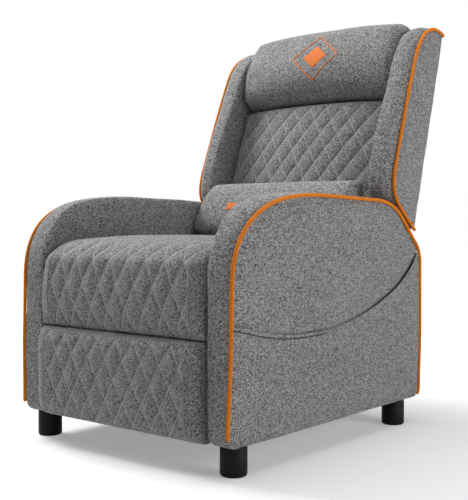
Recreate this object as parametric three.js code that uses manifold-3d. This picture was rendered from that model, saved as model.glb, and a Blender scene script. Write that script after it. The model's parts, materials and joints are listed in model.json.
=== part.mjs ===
// Push-back gaming recliner, upright, in millimetres, +Z up, front towards -Y.
// The chair frame used below has X = 0 on the centre line, Y = 0 at the front of
// the arms and Z = 0 on the floor. The last lines centre the chair over its origin.

import * as THREE from 'three';
import { mergeVertices } from 'three/addons/utils/BufferGeometryUtils.js';
import Module from 'manifold-3d';

const wasm = await Module();
wasm.setup();

// Clearances
const seam = 0.3; // between pieces that touch
const running = 0.3; // round a pin in its eye
const slip = 0.5; // between bars that pass one another
const sideGap = 3; // between a cushion and the arm beside it
const overrun = 6; // how far a cut runs past the face it opens

// Overall sizes
const outerWidth = 660;
const armWidth = 68;
const armHeight = 587;
const armDepth = 783;
const hemHeight = 72;
const weltThickness = 8;
const armRound = 30;

// Seat
const seatBase = 337;
const seatThickness = 158;
const noseDrop = 53.5; // from the base of the cushion to its front lip
const seatNose = 18; // how far it swells past the arms
const seatCrown = seatBase + seatThickness;
const seatLip = seatBase - noseDrop;
const diamondWidth = 57.5;
const diamondHeight = 116;
const quiltDepth = 7;

// Upright angle of the back and the place of its pivot
const backLean = THREE.MathUtils.degToRad(15.4);
const pivotInset = 83; // in front of the rear of the arms
const pivotRise = 48; // over the base of the seat cushion
const pivotDepth = armDepth - pivotInset;
const pivotHeight = seatBase + pivotRise;
const seatRearGap = 60; // between the seat cushion and that pivot
const seatDepth = pivotDepth - seatRearGap;

// Wings, measured in the leaning frame of the back
const wingDepth = 148;
const wingHeight = 559;
const wingLift = 28; // above the sloping rear corner of the arm
const wingRound = 26;

// Footrest panel
const lipGap = 4.5; // under the front lip of the seat
const panelTop = seatLip - lipGap;
const panelBottom = 76;
const boardBack = 26;
const boardThickness = 14;
const padThickness = 43;

// Timber and sheet
const timber = 18;
const sidePanelThickness = 16;
const seatRailDepth = 40;
const plateThickness = 4;
const pinRadius = 4;
const pivotPinRadius = 6;
const eyeRadius = 9;
const tubeRadius = 9.5;

// Legs
const legRadius = 29;
const legEdge = 5;
const legInset = 34;
const legFront = 52;
const legRearInset = 83;

// Back
const frameFront = 14;
const frameRear = 10;
const stileWidth = 20;
const stileTop = 672;
const backTop = 684;
const headTop = 700;
const headFoot = 458;
const backPadDepth = 75;
const headDepth = 95;
const coverThickness = 12;

const innerX = outerWidth / 2 - armWidth;
const cushionHalf = innerX - sideGap;

// Materials
const fabric = new THREE.MeshStandardMaterial({ color: 0x7c7b7a, roughness: 0.95 });
const quilt = new THREE.MeshStandardMaterial({ color: 0x716f6d, roughness: 0.95 });
const orange = new THREE.MeshStandardMaterial({ color: 0xe07a1c, roughness: 0.7 });
const blackPlastic = new THREE.MeshStandardMaterial({ color: 0x1b1b1c, roughness: 0.5 });
const plywood = new THREE.MeshStandardMaterial({ color: 0xc49b66, roughness: 0.8 });
const blackSteel = new THREE.MeshStandardMaterial({ color: 0x2a2b2d, roughness: 0.4, metalness: 0.8 });
const springSteel = new THREE.MeshStandardMaterial({ color: 0x8c8f93, roughness: 0.3, metalness: 1 });
const webbing = new THREE.MeshStandardMaterial({ color: 0x2d2c2b, roughness: 0.9 });

const chair = new THREE.Group();
const back = new THREE.Group();
back.position.set(0, pivotDepth, pivotHeight);
back.rotation.x = -backLean;
chair.add(back);

const point = (y, z) => new THREE.Vector2(y, z);

// Outline points from shares of a depth and a height, counted from an origin
function placed(shares, origin, depth, height) {
  return shares.map(([y, z]) => point(origin.x + y * depth, origin.y + z * height));
}

// A place in the chair frame, as seen from the leaning frame of the back
function leaning(place) {
  return place.clone().sub(point(pivotDepth, pivotHeight)).rotateAround(point(0, 0), backLean);
}

function addPiece(parent, name, geometry, material) {
  const mesh = new THREE.Mesh(geometry, material);
  mesh.name = name;
  parent.add(mesh);
  return mesh;
}

// A piece on the +X side of the chair and its mirror image
function addPair(parent, name, geometry, material) {
  addPiece(parent, name + '_right', geometry, material);
  addPiece(parent, name + '_left', geometry, material).scale.x = -1;
}

// Solids and boolean cuts

function toSolid(geometry) {
  const bare = geometry.clone();
  bare.deleteAttribute('normal');
  bare.deleteAttribute('uv');
  const merged = mergeVertices(bare);
  const vertProperties = new Float32Array(merged.attributes.position.array);
  const triVerts = new Uint32Array(merged.index.array);
  return new wasm.Manifold(new wasm.Mesh({ numProp: 3, vertProperties, triVerts }));
}

function toGeometry(solid) {
  const mesh = solid.getMesh();
  const geometry = new THREE.BufferGeometry();
  geometry.setAttribute('position', new THREE.BufferAttribute(mesh.vertProperties, 3));
  geometry.setIndex(new THREE.BufferAttribute(mesh.triVerts, 1));
  geometry.computeVertexNormals();
  return geometry;
}

function join(parts) {
  return toGeometry(parts.map(toSolid).reduce((whole, part) => whole.add(part)));
}

function cut(geometry, tools) {
  return toGeometry(tools.map(toSolid).reduce((whole, tool) => whole.subtract(tool), toSolid(geometry)));
}

function box(lowX, highX, lowY, highY, lowZ, highZ) {
  const geometry = new THREE.BoxGeometry(highX - lowX, highY - lowY, highZ - lowZ);
  return geometry.translate((lowX + highX) / 2, (lowY + highY) / 2, (lowZ + highZ) / 2);
}

// A side outline, drawn in Y and Z, made solid between two X planes
function sideSlab(shape, lowX, highX) {
  const settings = { depth: highX - lowX, curveSegments: 4, bevelEnabled: false };
  const geometry = new THREE.ExtrudeGeometry(shape, settings);
  const turn = new THREE.Matrix4().makeBasis(
    new THREE.Vector3(0, 1, 0), new THREE.Vector3(0, 0, 1), new THREE.Vector3(1, 0, 0));
  return geometry.applyMatrix4(turn).translate(lowX, 0, 0);
}

function crossPin(y, z, radius, lowX, highX, sides = 12) {
  const geometry = new THREE.CylinderGeometry(radius, radius, highX - lowX, sides);
  return geometry.rotateZ(Math.PI / 2).translate((lowX + highX) / 2, y, z);
}

// A straight bar with round ends between two pivots
function barShape(from, to, radius) {
  const heading = Math.atan2(to.y - from.y, to.x - from.x);
  const shape = new THREE.Shape();
  shape.absarc(from.x, from.y, radius, heading + Math.PI / 2, heading + Math.PI * 3 / 2, false);
  shape.absarc(to.x, to.y, radius, heading - Math.PI / 2, heading + Math.PI / 2, false);
  shape.closePath();
  return shape;
}

// A flat link through a run of pivots, with its holes cut and its pins joined on
function link(points, lowX, highX, radius, holes, pins) {
  const strips = points.slice(1).map((point, k) => sideSlab(barShape(points[k], point, radius), lowX, highX));
  const drills = holes.map((hole) =>
    crossPin(hole.at.x, hole.at.y, hole.radius, lowX - overrun, highX + overrun));
  const shafts = pins.map((pin) => crossPin(pin.at.x, pin.at.y, pin.radius, pin.lowX, pin.highX));
  return join([cut(join(strips), drills), ...shafts]);
}

// A closed skin through rings of points. Each cell is split along its valley, which
// joins the two corners that valley() marks as sunken.
function skin(rings, valley = () => false) {
  const count = rings[0].length;
  const positions = rings.flat().flatMap((point) => [point.x, point.y, point.z]);
  const index = [];
  for (let i = 0; i < rings.length - 1; i++) {
    for (let j = 0; j < count; j++) {
      const a = i * count + j;
      const b = i * count + (j + 1) % count;
      const c = a + count;
      const d = b + count;
      if (valley(i, j)) index.push(a, b, d, a, d, c);
      else index.push(a, b, c, b, d, c);
    }
  }
  const addCap = (ring, start, facing) => {
    const outline = ring.map((point) => new THREE.Vector2(point.y, point.z));
    for (const [p, q, r] of THREE.ShapeUtils.triangulateShape(outline, [])) {
      const area = THREE.ShapeUtils.area([outline[p], outline[q], outline[r]]);
      if (area * facing > 0) index.push(start + p, start + q, start + r);
      else index.push(start + p, start + r, start + q);
    }
  };
  addCap(rings[0], 0, -1);
  addCap(rings[rings.length - 1], (rings.length - 1) * count, 1);
  const geometry = new THREE.BufferGeometry();
  geometry.setAttribute('position', new THREE.Float32BufferAttribute(positions, 3));
  geometry.setIndex(index);
  geometry.computeVertexNormals();
  return geometry;
}

// Outward direction at each point of an anticlockwise outline. An open outline has a
// level cut edge between its two ends, which stays where it is when it is inset.
function outwards(points, k, open = false) {
  const last = points.length - 1;
  if (open && k === 0) return new THREE.Vector2(1, 0);
  if (open && k === last) return new THREE.Vector2(-1, 0);
  const before = points[(k + last) % points.length];
  const after = points[(k + 1) % points.length];
  return new THREE.Vector2(after.y - before.y, before.x - after.x).normalize();
}

function inset(points, distance, open, share = () => 1) {
  return points.map((point, k) =>
    point.clone().addScaledVector(outwards(points, k, open), -distance * share(point)));
}

function ringAt(x, outline) {
  return outline.map((point) => new THREE.Vector3(x, point.x, point.y));
}

// An upholstered panel with a welt seat on its outer edge and a round inner edge
const roundSteps = 3;
const weltCentre = (weltThickness / 2 + seam) * Math.SQRT1_2 - weltThickness / 2;
const panelFace = outerWidth / 2 - weltThickness / 2 - weltCentre;

function padded(outline, round, open, share) {
  const rings = [];
  for (let k = 0; k <= roundSteps; k++) {
    const turn = k / roundSteps * Math.PI / 2;
    const rim = inset(outline, round * (1 - Math.sin(turn)), open, share);
    rings.push(ringAt(innerX + round * (1 - Math.cos(turn)), rim));
  }
  rings.push(ringAt(panelFace - weltThickness, outline));
  rings.push(ringAt(panelFace, inset(outline, weltThickness, open)));
  return skin(rings);
}

// A welt follows the outline corner by corner, so it keeps one gap to the panel
class WeltPath extends THREE.Curve {
  constructor(points) {
    super();
    this.points = points;
  }

  getPoint(t, target = new THREE.Vector3()) {
    const last = this.points.length - 1;
    const place = Math.min(Math.max(t, 0), 1) * last;
    const k = Math.min(Math.floor(place), last - 1);
    return target.lerpVectors(this.points[k], this.points[k + 1], place - k);
  }

  getUtoTmapping(u) {
    return u;
  }
}

const weltSides = 3;
const closingShare = 0.98;
const curveSteps = 9;

function welt(outline, open) {
  const run = inset(outline, -weltCentre, open);
  if (!open) run.push(run[run.length - 1].clone().lerp(run[0], closingShare));
  const path = new WeltPath(run.map((point) => new THREE.Vector3(panelFace + weltCentre, point.x, point.y)));
  const section = new THREE.Shape();
  section.absarc(0, 0, weltThickness / 2, 0, Math.PI * 2, false);
  return new THREE.ExtrudeGeometry(section, {
    extrudePath: path, steps: run.length - 1, curveSegments: weltSides, bevelEnabled: false });
}

function pathPoints(path, divisions) {
  const points = path.getPoints(divisions);
  return points.filter((point, k) => k === 0 || point.distanceTo(points[k - 1]) > seam);
}

// Arms: outline points are shares of the arm's depth and height
const armShares = {
  toe: [0.985, 0],
  brow: [0.004, 0.63],
  browPull: [0.006, 0.877],
  crestPull: [0.096, 1],
  crest: [0.361, 1],
  shoulder: [0.72, 0.987],
  shoulderPull: [0.797, 0.978],
  slope: [0.846, 0.933],
  heel: [0.958, 0.805],
  heelPull: [0.988, 0.775],
  rear: [0.993, 0.719],
};
const toeLead = 8;

function armOutline() {
  const at = ([y, z]) => [y * armDepth, z * armHeight];
  const path = new THREE.Path();
  path.moveTo(armDepth, hemHeight);
  path.lineTo(...at(armShares.rear));
  path.quadraticCurveTo(...at(armShares.heelPull), ...at(armShares.heel));
  path.lineTo(...at(armShares.slope));
  path.quadraticCurveTo(...at(armShares.shoulderPull), ...at(armShares.shoulder));
  path.lineTo(...at(armShares.crest));
  path.bezierCurveTo(...at(armShares.crestPull), ...at(armShares.browPull), ...at(armShares.brow));
  path.lineTo(-toeLead, hemHeight);
  return pathPoints(path, curveSteps);
}

const armEdge = armOutline();

// Timber side panel let into the inner face of each arm
const sidePanelFront = 30;
const sidePanelInset = 41;
const sidePanelRear = armDepth - sidePanelInset;
const sidePanelTop = 430;
const sidePanelFoot = hemHeight + overrun;

function armSolid() {
  const recess = box(innerX - overrun, innerX + sidePanelThickness + seam, sidePanelFront - seam,
    sidePanelRear + seam, hemHeight - overrun, sidePanelTop + seam);
  return cut(padded(armEdge, armRound, true), [recess]);
}

// Side pocket: a flap over a shallow hollow in the outer face of one arm. The mouth
// line is given as shares of the arm's depth and height.
const mouthShares = [[0.01, 0.537], [0.13, 0.494], [0.27, 0.465], [0.48, 0.479], [0.65, 0.525],
  [0.81, 0.598], [0.91, 0.675], [0.985, 0.757]];
const pocketHollow = 8;
const flapThickness = 2.6;
const flapClear = 2;
const flapMargin = weltThickness + flapClear;
const pocketMouth = 12;
const pocketFront = 358;
const pocketInset = 53;
const pocketFoot = 150;
const mouthSteps = 14;

function mouthLine(rise) {
  const knots = mouthShares.map(([y, z]) => new THREE.Vector2(y * armDepth, z * armHeight + rise));
  return new THREE.SplineCurve(knots).getPoints(mouthSteps);
}

function belowMouth(rise, lowY, highY, lowZ, lowX, highX) {
  const line = mouthLine(rise);
  const shape = new THREE.Shape([new THREE.Vector2(line[0].x, lowZ),
    new THREE.Vector2(line[mouthSteps].x, lowZ), ...line.reverse()]);
  const window = box(lowX - overrun, highX + overrun, lowY, highY, lowZ - overrun, armHeight);
  return toGeometry(toSolid(sideSlab(shape, lowX, highX)).intersect(toSolid(window)));
}

function pocketArm() {
  const hollow = belowMouth(pocketMouth, pocketFront, armDepth - pocketInset, pocketFoot,
    panelFace - pocketHollow, panelFace + overrun);
  return cut(armSolid(), [hollow]);
}

function pocketFlap() {
  const inner = new THREE.Shape(inset(armEdge, flapMargin, true));
  const lowX = panelFace + seam;
  const face = toSolid(sideSlab(inner, lowX, lowX + flapThickness));
  const lower = belowMouth(0, -armDepth, armDepth * 2, hemHeight, lowX - overrun, lowX + flapThickness + overrun);
  return toGeometry(face.intersect(toSolid(lower)));
}

addPiece(chair, 'arm_right', pocketArm(), fabric);
addPiece(chair, 'arm_left', armSolid(), fabric).scale.x = -1;
addPiece(chair, 'side_pocket', pocketFlap(), fabric);
addPair(chair, 'arm_piping', welt(armEdge, true), orange);
addPair(chair, 'side_panel', box(innerX, innerX + sidePanelThickness, sidePanelFront, sidePanelRear,
  sidePanelFoot, sidePanelTop), plywood);

// Legs
function legSolid(y) {
  const top = hemHeight - seam;
  const profile = new THREE.Path();
  profile.moveTo(0, 0);
  profile.lineTo(legRadius - legEdge, 0);
  profile.absarc(legRadius - legEdge, legEdge, legEdge, -Math.PI / 2, 0, false);
  profile.lineTo(legRadius, top);
  profile.lineTo(0, top);
  const geometry = new THREE.LatheGeometry(profile.getPoints(2), 20).rotateX(Math.PI / 2);
  return geometry.translate(outerWidth / 2 - legInset, y, 0);
}

addPair(chair, 'leg_front', legSolid(legFront), blackPlastic);
addPair(chair, 'leg_rear', legSolid(armDepth - legRearInset), blackPlastic);

// Cross rails of the base and the covered panel behind them
const railReach = innerX - seam;
const frontRailFront = 215;
const frontRailFoot = 84;
const frontRailTop = 150;
const rearRailFront = sidePanelRear + seam;
const rearRailFoot = 90;
const rearRailTop = 362;
const skirtRise = 31;
const skirtThickness = 12;
const skirtFront = rearRailFront + timber + seam;

addPiece(chair, 'front_rail', box(-railReach, railReach, frontRailFront, frontRailFront + timber,
  frontRailFoot, frontRailTop), plywood);
addPiece(chair, 'rear_rail', box(-railReach, railReach, rearRailFront, rearRailFront + timber,
  rearRailFoot, rearRailTop), plywood);
addPiece(chair, 'rear_skirt', box(-railReach, railReach, skirtFront, skirtFront + skirtThickness,
  hemHeight, rearRailTop + skirtRise), fabric);

// Zigzag wires lie on the seat frame and carry the cushion
const wireRadius = 2;
const seatRailTop = seatBase - wireRadius * 2 - seam * 2;
const seatRailFoot = seatRailTop - seatRailDepth;

// Steel slide rails on the side panels, with a channel for the seat's tongue
const railLength = 320;
const railInset = 140; // in front of the pivot of the back
const railRear = pivotDepth - railInset;
const railFront = railRear - railLength;
const railWall = 3;
const tongueHeight = 12;
const tongueDrop = 14;
const tongueFoot = seatRailTop - tongueDrop - tongueHeight;
const channelFoot = tongueFoot - slip;
const channelTop = tongueFoot + tongueHeight + slip;

// Back hinge: a bracket and pin on the base, a plate on the back
const bracketInner = innerX - seam - plateThickness;
const hingePlateOuter = bracketInner - slip;
const hingePlateInner = hingePlateOuter - plateThickness;
const bracketHalf = 38;
const bracketDrop = 70;

function backBracket() {
  const plate = box(bracketInner, bracketInner + plateThickness, pivotDepth - bracketHalf,
    pivotDepth + bracketHalf, pivotHeight - bracketDrop, pivotHeight + bracketHalf);
  return join([plate, crossPin(pivotDepth, pivotHeight, pivotPinRadius, hingePlateInner + seam,
    bracketInner + plateThickness / 2)]);
}

addPair(chair, 'back_bracket', backBracket(), blackSteel);

// The slide rails stop short of the layer in which the push links run
function slideRail() {
  const highX = innerX - seam;
  const body = box(hingePlateInner, highX, railFront, railRear, channelFoot - railWall, channelTop + railWall);
  const groove = box(hingePlateInner - overrun, highX - railWall, railFront - overrun, railRear + overrun,
    channelFoot, channelTop);
  return cut(body, [groove]);
}

addPair(chair, 'slide_rail', slideRail(), blackSteel);

// Push links carry the back's lower tangs forward into the seat
const tangReach = 70;
const tangAngle = THREE.MathUtils.degToRad(20);
const tang = point(pivotDepth + tangReach * Math.sin(tangAngle), pivotHeight - tangReach * Math.cos(tangAngle));
const pushLength = 120;
const pushDip = tangReach * (1 - Math.cos(tangAngle)) / 2;
const pushEye = point(tang.x - pushLength, tang.y);
const pushPin = point(pushEye.x, pushEye.y - pushDip);
const pushEyeRadius = 11;
const pushOuter = hingePlateInner - slip;
const pushInner = pushOuter - plateThickness;
const hingeEyeRadius = 15;
const hingeTop = 150;

// Mechanism plates, links and brackets lie in layers inwards from the push links
const plateGap = 4.7;
const mechOuter = pushInner - plateGap;
const mechInner = mechOuter - plateThickness;
const layerPitch = plateThickness + slip;
const layerHigh = (k) => mechInner - slip - (k - 1) * layerPitch;
const layerLow = (k) => layerHigh(k) - plateThickness;

// Footrest linkage: two parallelograms, one behind the other. The first swings the
// carrier link forward and keeps it level, the second turns the panel.
const driveDepth = 44;
const driveHang = 26.4; // under the seat rails
const driveHeight = seatRailFoot - driveHang;
const driveSetback = 93;
const driveDrop = 140.5;
const guideSetback = 56;
const guideDrop = 2;
const carrierLead = 58;
const carrierRise = 141.5;
const liftLead = 38.8;
const liftDrop = 28.2;
const drivePivot = point(driveDepth, driveHeight);
const carrierPivot = point(driveDepth + driveSetback, driveHeight - driveDrop);
const guidePivot = point(drivePivot.x + guideSetback, drivePivot.y - guideDrop);
const guideFoot = point(carrierPivot.x + guideSetback, carrierPivot.y - guideDrop);
const panelPivot = point(carrierPivot.x - carrierLead, carrierPivot.y + carrierRise);
const liftFoot = point(carrierPivot.x - liftLead, carrierPivot.y - liftDrop);
const liftHead = point(panelPivot.x - liftLead, panelPivot.y - liftDrop);
const loosePivot = 0.6;
const hole = (at, radius) => ({ at, radius });
const pin = (at, lowX, highX, radius = pinRadius) => ({ at, lowX, highX, radius });
const eye = pinRadius + running;

addPair(chair, 'push_link', link([tang, pushEye], pushInner, pushOuter, pushEyeRadius,
  [hole(tang, eye), hole(pushEye, pinRadius + pushDip + slip)], []), blackSteel);

const guideMiddle = guidePivot.clone().lerp(guideFoot, 1 / 2);
const tubeSides = 24;

addPair(chair, 'drive_link', link([drivePivot, carrierPivot, liftFoot], layerLow(1), layerHigh(1), eyeRadius,
  [hole(drivePivot, eye)], [pin(carrierPivot, layerLow(2), layerHigh(1)),
    pin(liftFoot, layerLow(3), layerHigh(1))]), blackSteel);
addPair(chair, 'guide_link', link([guidePivot, guideFoot], layerLow(1), layerHigh(1), eyeRadius,
  [hole(guidePivot, eye)], [pin(guideFoot, layerLow(2), layerHigh(1))]), blackSteel);
addPiece(chair, 'guide_tube', crossPin(guideMiddle.x, guideMiddle.y, tubeRadius, seam - layerLow(1),
  layerLow(1) - seam, tubeSides), blackSteel);
addPair(chair, 'carrier_link', link([guideFoot, carrierPivot, panelPivot], layerLow(2), layerHigh(2), eyeRadius,
  [hole(guideFoot, pinRadius + loosePivot), hole(carrierPivot, eye), hole(panelPivot, eye)], []), blackSteel);
addPair(chair, 'lift_link', link([liftFoot, liftHead], layerLow(3), layerHigh(3), eyeRadius,
  [hole(liftFoot, eye), hole(liftHead, pinRadius + loosePivot)], []), blackSteel);

// Seat: a timber frame on two mechanism plates, with sprung wires and a quilted cushion
const seatFrameFront = 20;
const seatFrameInset = 50; // in front of the rear of the cushion
const seatFrameRear = seatDepth - seatFrameInset;
const seatRailOuter = mechInner - seam;
const seatRailInner = seatRailOuter - timber;
const tongueLength = 180;
const tongueInset = 80; // in front of the rear of the rails
const tongueRear = railRear - tongueInset;
const plateFront = drivePivot.x - eyeRadius - seam;

function mechanismPlate() {
  const outline = new THREE.Shape([
    point(plateFront, seatRailTop), point(plateFront, drivePivot.y - eyeRadius),
    point(guidePivot.x + eyeRadius, guidePivot.y - eyeRadius),
    point(guidePivot.x + eyeRadius + timber, seatRailFoot),
    point(pushPin.x - pushEyeRadius - timber, seatRailFoot), point(pushPin.x, pushPin.y - pushEyeRadius),
    point(pushPin.x, seatRailTop)]);
  const tongue = box(mechInner + seam, innerX - railWall - seam - slip, tongueRear - tongueLength, tongueRear,
    tongueFoot, tongueFoot + tongueHeight);
  return join([sideSlab(outline, mechInner, mechOuter), tongue,
    crossPin(drivePivot.x, drivePivot.y, pinRadius, layerLow(1), mechOuter),
    crossPin(guidePivot.x, guidePivot.y, pinRadius, layerLow(1), mechOuter),
    crossPin(pushPin.x, pushPin.y, pushEyeRadius, mechInner, mechOuter, tubeSides),
    crossPin(pushPin.x, pushPin.y, pinRadius, mechInner, pushOuter)]);
}

addPair(chair, 'mechanism_plate', mechanismPlate(), blackSteel);
addPair(chair, 'seat_side_rail', box(seatRailInner, seatRailOuter, seatFrameFront, seatFrameRear,
  seatRailFoot, seatRailTop), plywood);

const crossReach = seatRailInner - seam;
addPiece(chair, 'seat_front_rail', box(-crossReach, crossReach, seatFrameFront, seatFrameFront + timber,
  seatRailFoot, seatRailTop), plywood);
addPiece(chair, 'seat_rear_rail', box(-crossReach, crossReach, seatFrameRear - timber, seatFrameRear,
  seatRailFoot, seatRailTop), plywood);

// Zigzag springs lie across the front and rear rails
const springPitch = 130;
const springSwing = 28;
const springBends = 9;
const springSteps = 54;
const springHeight = seatRailTop + seam + wireRadius;

class ZigzagWire extends THREE.Curve {
  getPoint(t, target = new THREE.Vector3()) {
    const run = seatFrameRear - seatFrameFront - timber;
    const swing = springSwing * Math.sin(t * springBends * Math.PI);
    return target.set(swing, seatFrameFront + timber / 2 + run * t, springHeight);
  }
}

function springWire(x) {
  const section = new THREE.Shape();
  section.absarc(0, 0, wireRadius, 0, Math.PI * 2, false);
  const geometry = new THREE.ExtrudeGeometry(section, {
    extrudePath: new ZigzagWire(), steps: springSteps, curveSegments: 2, bevelEnabled: false });
  return geometry.translate(x, 0, 0);
}

addPiece(chair, 'seat_spring_left', springWire(-springPitch), springSteel);
addPiece(chair, 'seat_spring_middle', springWire(0), springSteel);
addPiece(chair, 'seat_spring_right', springWire(springPitch), springSteel);

// Quilted and plain pads. The front face is a curve in Y and Z that runs from the
// last point of the flat side round to its first point.
const quiltRows = (face) => Math.round(face.getLength() / diamondHeight * 2);
const quiltColumns = Math.round(2 * cushionHalf / diamondWidth) * 2;
const crownPower = 2.5;

function pad(options) {
  const { halfWidth, face, faceSteps, flat, columns, drawIn, edge, sideDrop, quiltSink } = options;
  const front = face.getSpacedPoints(faceSteps);
  const outline = [...front, ...flat];
  const xs = [-halfWidth, edge - halfWidth];
  for (let k = 1; k < columns; k++) xs.push(-halfWidth + k * 2 * halfWidth / columns);
  xs.push(halfWidth - edge, halfWidth);
  const rings = xs.map((x, i) => {
    const atEnd = i === 0 || i === xs.length - 1;
    const nearEnd = i === 1 || i === xs.length - 2;
    const droop = sideDrop * (Math.abs(x) / halfWidth) ** crownPower;
    const ring = outline.map((place, j) => {
      const onFace = j > 0 && j < faceSteps;
      if (!onFace) return place.clone().addScaledVector(outwards(outline, j), atEnd ? -drawIn / 2 : 0);
      let sink = droop * Math.sin(j / faceSteps * Math.PI);
      if (atEnd) sink += drawIn;
      else if (nearEnd) sink += quiltSink / 2;
      else if ((i + j) % 2 === 0) sink += quiltSink;
      return place.clone().addScaledVector(outwards(outline, j), -sink);
    });
    return ringAt(x, ring);
  });
  return skin(rings, (i, j) => (i + j) % 2 === 0);
}

// Seat cushion: the top in shares of its depth and height, the nose in shares of the
// swell in front and of the height over the lip
const seatTopShares = [[1, 0.57], [0.981, 0.797], [0.8, 0.949], [0.5, 1], [0.22, 1], [0.09, 0.924]];
const seatNoseShares = [[-0.2, 0.726], [1, 0.409], [1, 0.142], [0, 0]];
const seatDrawIn = 12;
const seatEdge = 9;
const seatDroop = 15;

function seatCushion() {
  const top = placed(seatTopShares, point(0, seatBase), seatDepth, seatCrown - seatBase);
  const nose = placed(seatNoseShares, point(0, seatLip), -seatNose, seatCrown - seatLip);
  const face = new THREE.SplineCurve([...top, ...nose]);
  const railFace = seatFrameFront - seam * 2;
  const flat = [point(railFace, seatLip), point(railFace, seatBase), point(seatDepth, seatBase)];
  return pad({ halfWidth: cushionHalf, face, faceSteps: quiltRows(face), flat, columns: quiltColumns,
    drawIn: seatDrawIn, edge: seatEdge, sideDrop: seatDroop, quiltSink: quiltDepth });
}

addPiece(chair, 'seat_cushion', seatCushion(), quilt);

// Footrest: board, quilted pad and the brackets that hang it on the links
const boardFront = boardBack - boardThickness;
const boardInset = 6;
const boardMargin = 4;
const padFaceShares = [[0, 1], [0.55, 0.98], [0.93, 0.823], [1, 0.5], [0.93, 0.177], [0.55, 0.02], [0, 0]];
const padDrawIn = 9;
const padEdge = 8;
const padDroop = 4;

function footrestPad() {
  const origin = point(boardFront - seam, panelBottom);
  const face = new THREE.SplineCurve(placed(padFaceShares, origin, -padThickness, panelTop - panelBottom));
  return pad({ halfWidth: cushionHalf, face, faceSteps: quiltRows(face) * 2, flat: [], columns: quiltColumns,
    drawIn: padDrawIn, edge: padEdge, sideDrop: padDroop, quiltSink: quiltDepth });
}

const bracketTop = panelTop - eyeRadius;
const bracketReach = 54;

function footrestBracket() {
  const boardFace = boardBack + seam;
  const foot = liftHead.y - bracketReach;
  const web = new THREE.Shape([
    point(panelPivot.x + eyeRadius, panelPivot.y), point(panelPivot.x, panelPivot.y - eyeRadius - pinRadius),
    point(liftHead.x, liftHead.y - eyeRadius - pinRadius), point(boardFace, foot),
    point(boardFace, bracketTop), point(panelPivot.x, panelPivot.y + eyeRadius)]);
  const flange = box(layerLow(4) - timber, layerHigh(4), boardFace, boardFace + railWall, foot, bracketTop);
  return join([sideSlab(web, layerLow(4), layerHigh(4)), flange,
    crossPin(panelPivot.x, panelPivot.y, pinRadius, layerLow(4), layerHigh(2)),
    crossPin(liftHead.x, liftHead.y, pinRadius, layerLow(4), layerHigh(3))]);
}

addPiece(chair, 'footrest_board', box(boardInset - cushionHalf, cushionHalf - boardInset, boardFront, boardBack,
  panelBottom + boardMargin, panelTop - boardMargin), plywood);
addPiece(chair, 'footrest_pad', footrestPad(), quilt);
addPair(chair, 'footrest_bracket', footrestBracket(), blackSteel);

// Back frame, in the leaning frame with the pivot at its origin
const stileOuter = hingePlateInner - seam;
const stileInner = stileOuter - stileWidth;
const stileFoot = 30;
const lowerRailFoot = 42;
const railHeight = 36;
const strapLower = 230;
const strapUpper = 400;
const strapHalf = 25;
const strapThickness = 2.4;
const strapFront = -frameFront - seam - strapThickness;

addPair(back, 'back_stile', box(stileInner, stileOuter, -frameFront, frameRear, stileFoot, stileTop), plywood);
addPiece(back, 'back_lower_rail', box(seam - stileInner, stileInner - seam, -frameFront, frameRear,
  lowerRailFoot, lowerRailFoot + railHeight), plywood);
addPiece(back, 'back_top_rail', box(seam - stileInner, stileInner - seam, -frameFront, frameRear,
  stileTop - railHeight, stileTop), plywood);
addPiece(back, 'back_strap_lower', box(-stileOuter, stileOuter, strapFront, strapFront + strapThickness,
  strapLower - strapHalf, strapLower + strapHalf), webbing);
addPiece(back, 'back_strap_upper', box(-stileOuter, stileOuter, strapFront, strapFront + strapThickness,
  strapUpper - strapHalf, strapUpper + strapHalf), webbing);

function hingePlate() {
  const foot = leaning(tang);
  const hub = point(0, 0);
  const lower = sideSlab(barShape(hub, foot, hingeEyeRadius), hingePlateInner, hingePlateOuter);
  const upper = sideSlab(barShape(hub, point(0, hingeTop), frameRear), hingePlateInner, hingePlateOuter);
  const bore = crossPin(0, 0, pivotPinRadius + running, hingePlateInner - overrun, hingePlateOuter + overrun,
    tubeSides);
  return join([cut(join([lower, upper]), [bore]),
    crossPin(foot.x, foot.y, pinRadius, pushInner, hingePlateOuter)]);
}

addPair(back, 'hinge_plate', hingePlate(), blackSteel);

// Wings: outline points are shares of the wing's depth and height
const wingShares = {
  heel: [0, 0.06],
  heelPull: [0, 0.005],
  sole: [0.17, 0.022],
  rearTop: [0, 0.93],
  rearCorner: [0, 1],
  crown: [0.24, 1],
  browTop: [0.3, 1],
  browPull: [0.6, 0.99],
  cheekPull: [0.74, 0.92],
  cheek: [0.85, 0.79],
  jaw: [0.985, 0.29],
  jawPull: [1.03, 0.18],
  chinPull: [0.93, 0.1],
  chin: [0.676, 0.067],
};

const armHeel = leaning(point(armShares.heel[0] * armDepth, armShares.heel[1] * armHeight));
const wingRear = armHeel.x;
const wingFoot = armHeel.y + wingLift;

function wingOutline() {
  const at = ([y, z]) => [wingRear - y * wingDepth, wingFoot + z * wingHeight];
  const path = new THREE.Path();
  path.moveTo(...at(wingShares.sole));
  path.quadraticCurveTo(...at(wingShares.heelPull), ...at(wingShares.heel));
  path.lineTo(...at(wingShares.rearTop));
  path.quadraticCurveTo(...at(wingShares.rearCorner), ...at(wingShares.crown));
  path.lineTo(...at(wingShares.browTop));
  path.bezierCurveTo(...at(wingShares.browPull), ...at(wingShares.cheekPull), ...at(wingShares.cheek));
  path.lineTo(...at(wingShares.jaw));
  path.bezierCurveTo(...at(wingShares.jawPull), ...at(wingShares.chinPull), ...at(wingShares.chin));
  return pathPoints(path, curveSteps - 1);
}

const wingEdge = wingOutline();
// The inner edge is round at the front and square where the rear cover meets it
const squareShare = 0.35;
const wingSoftness = (place) => Math.min((wingRear - place.x) / (wingDepth * squareShare), 1);

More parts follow.
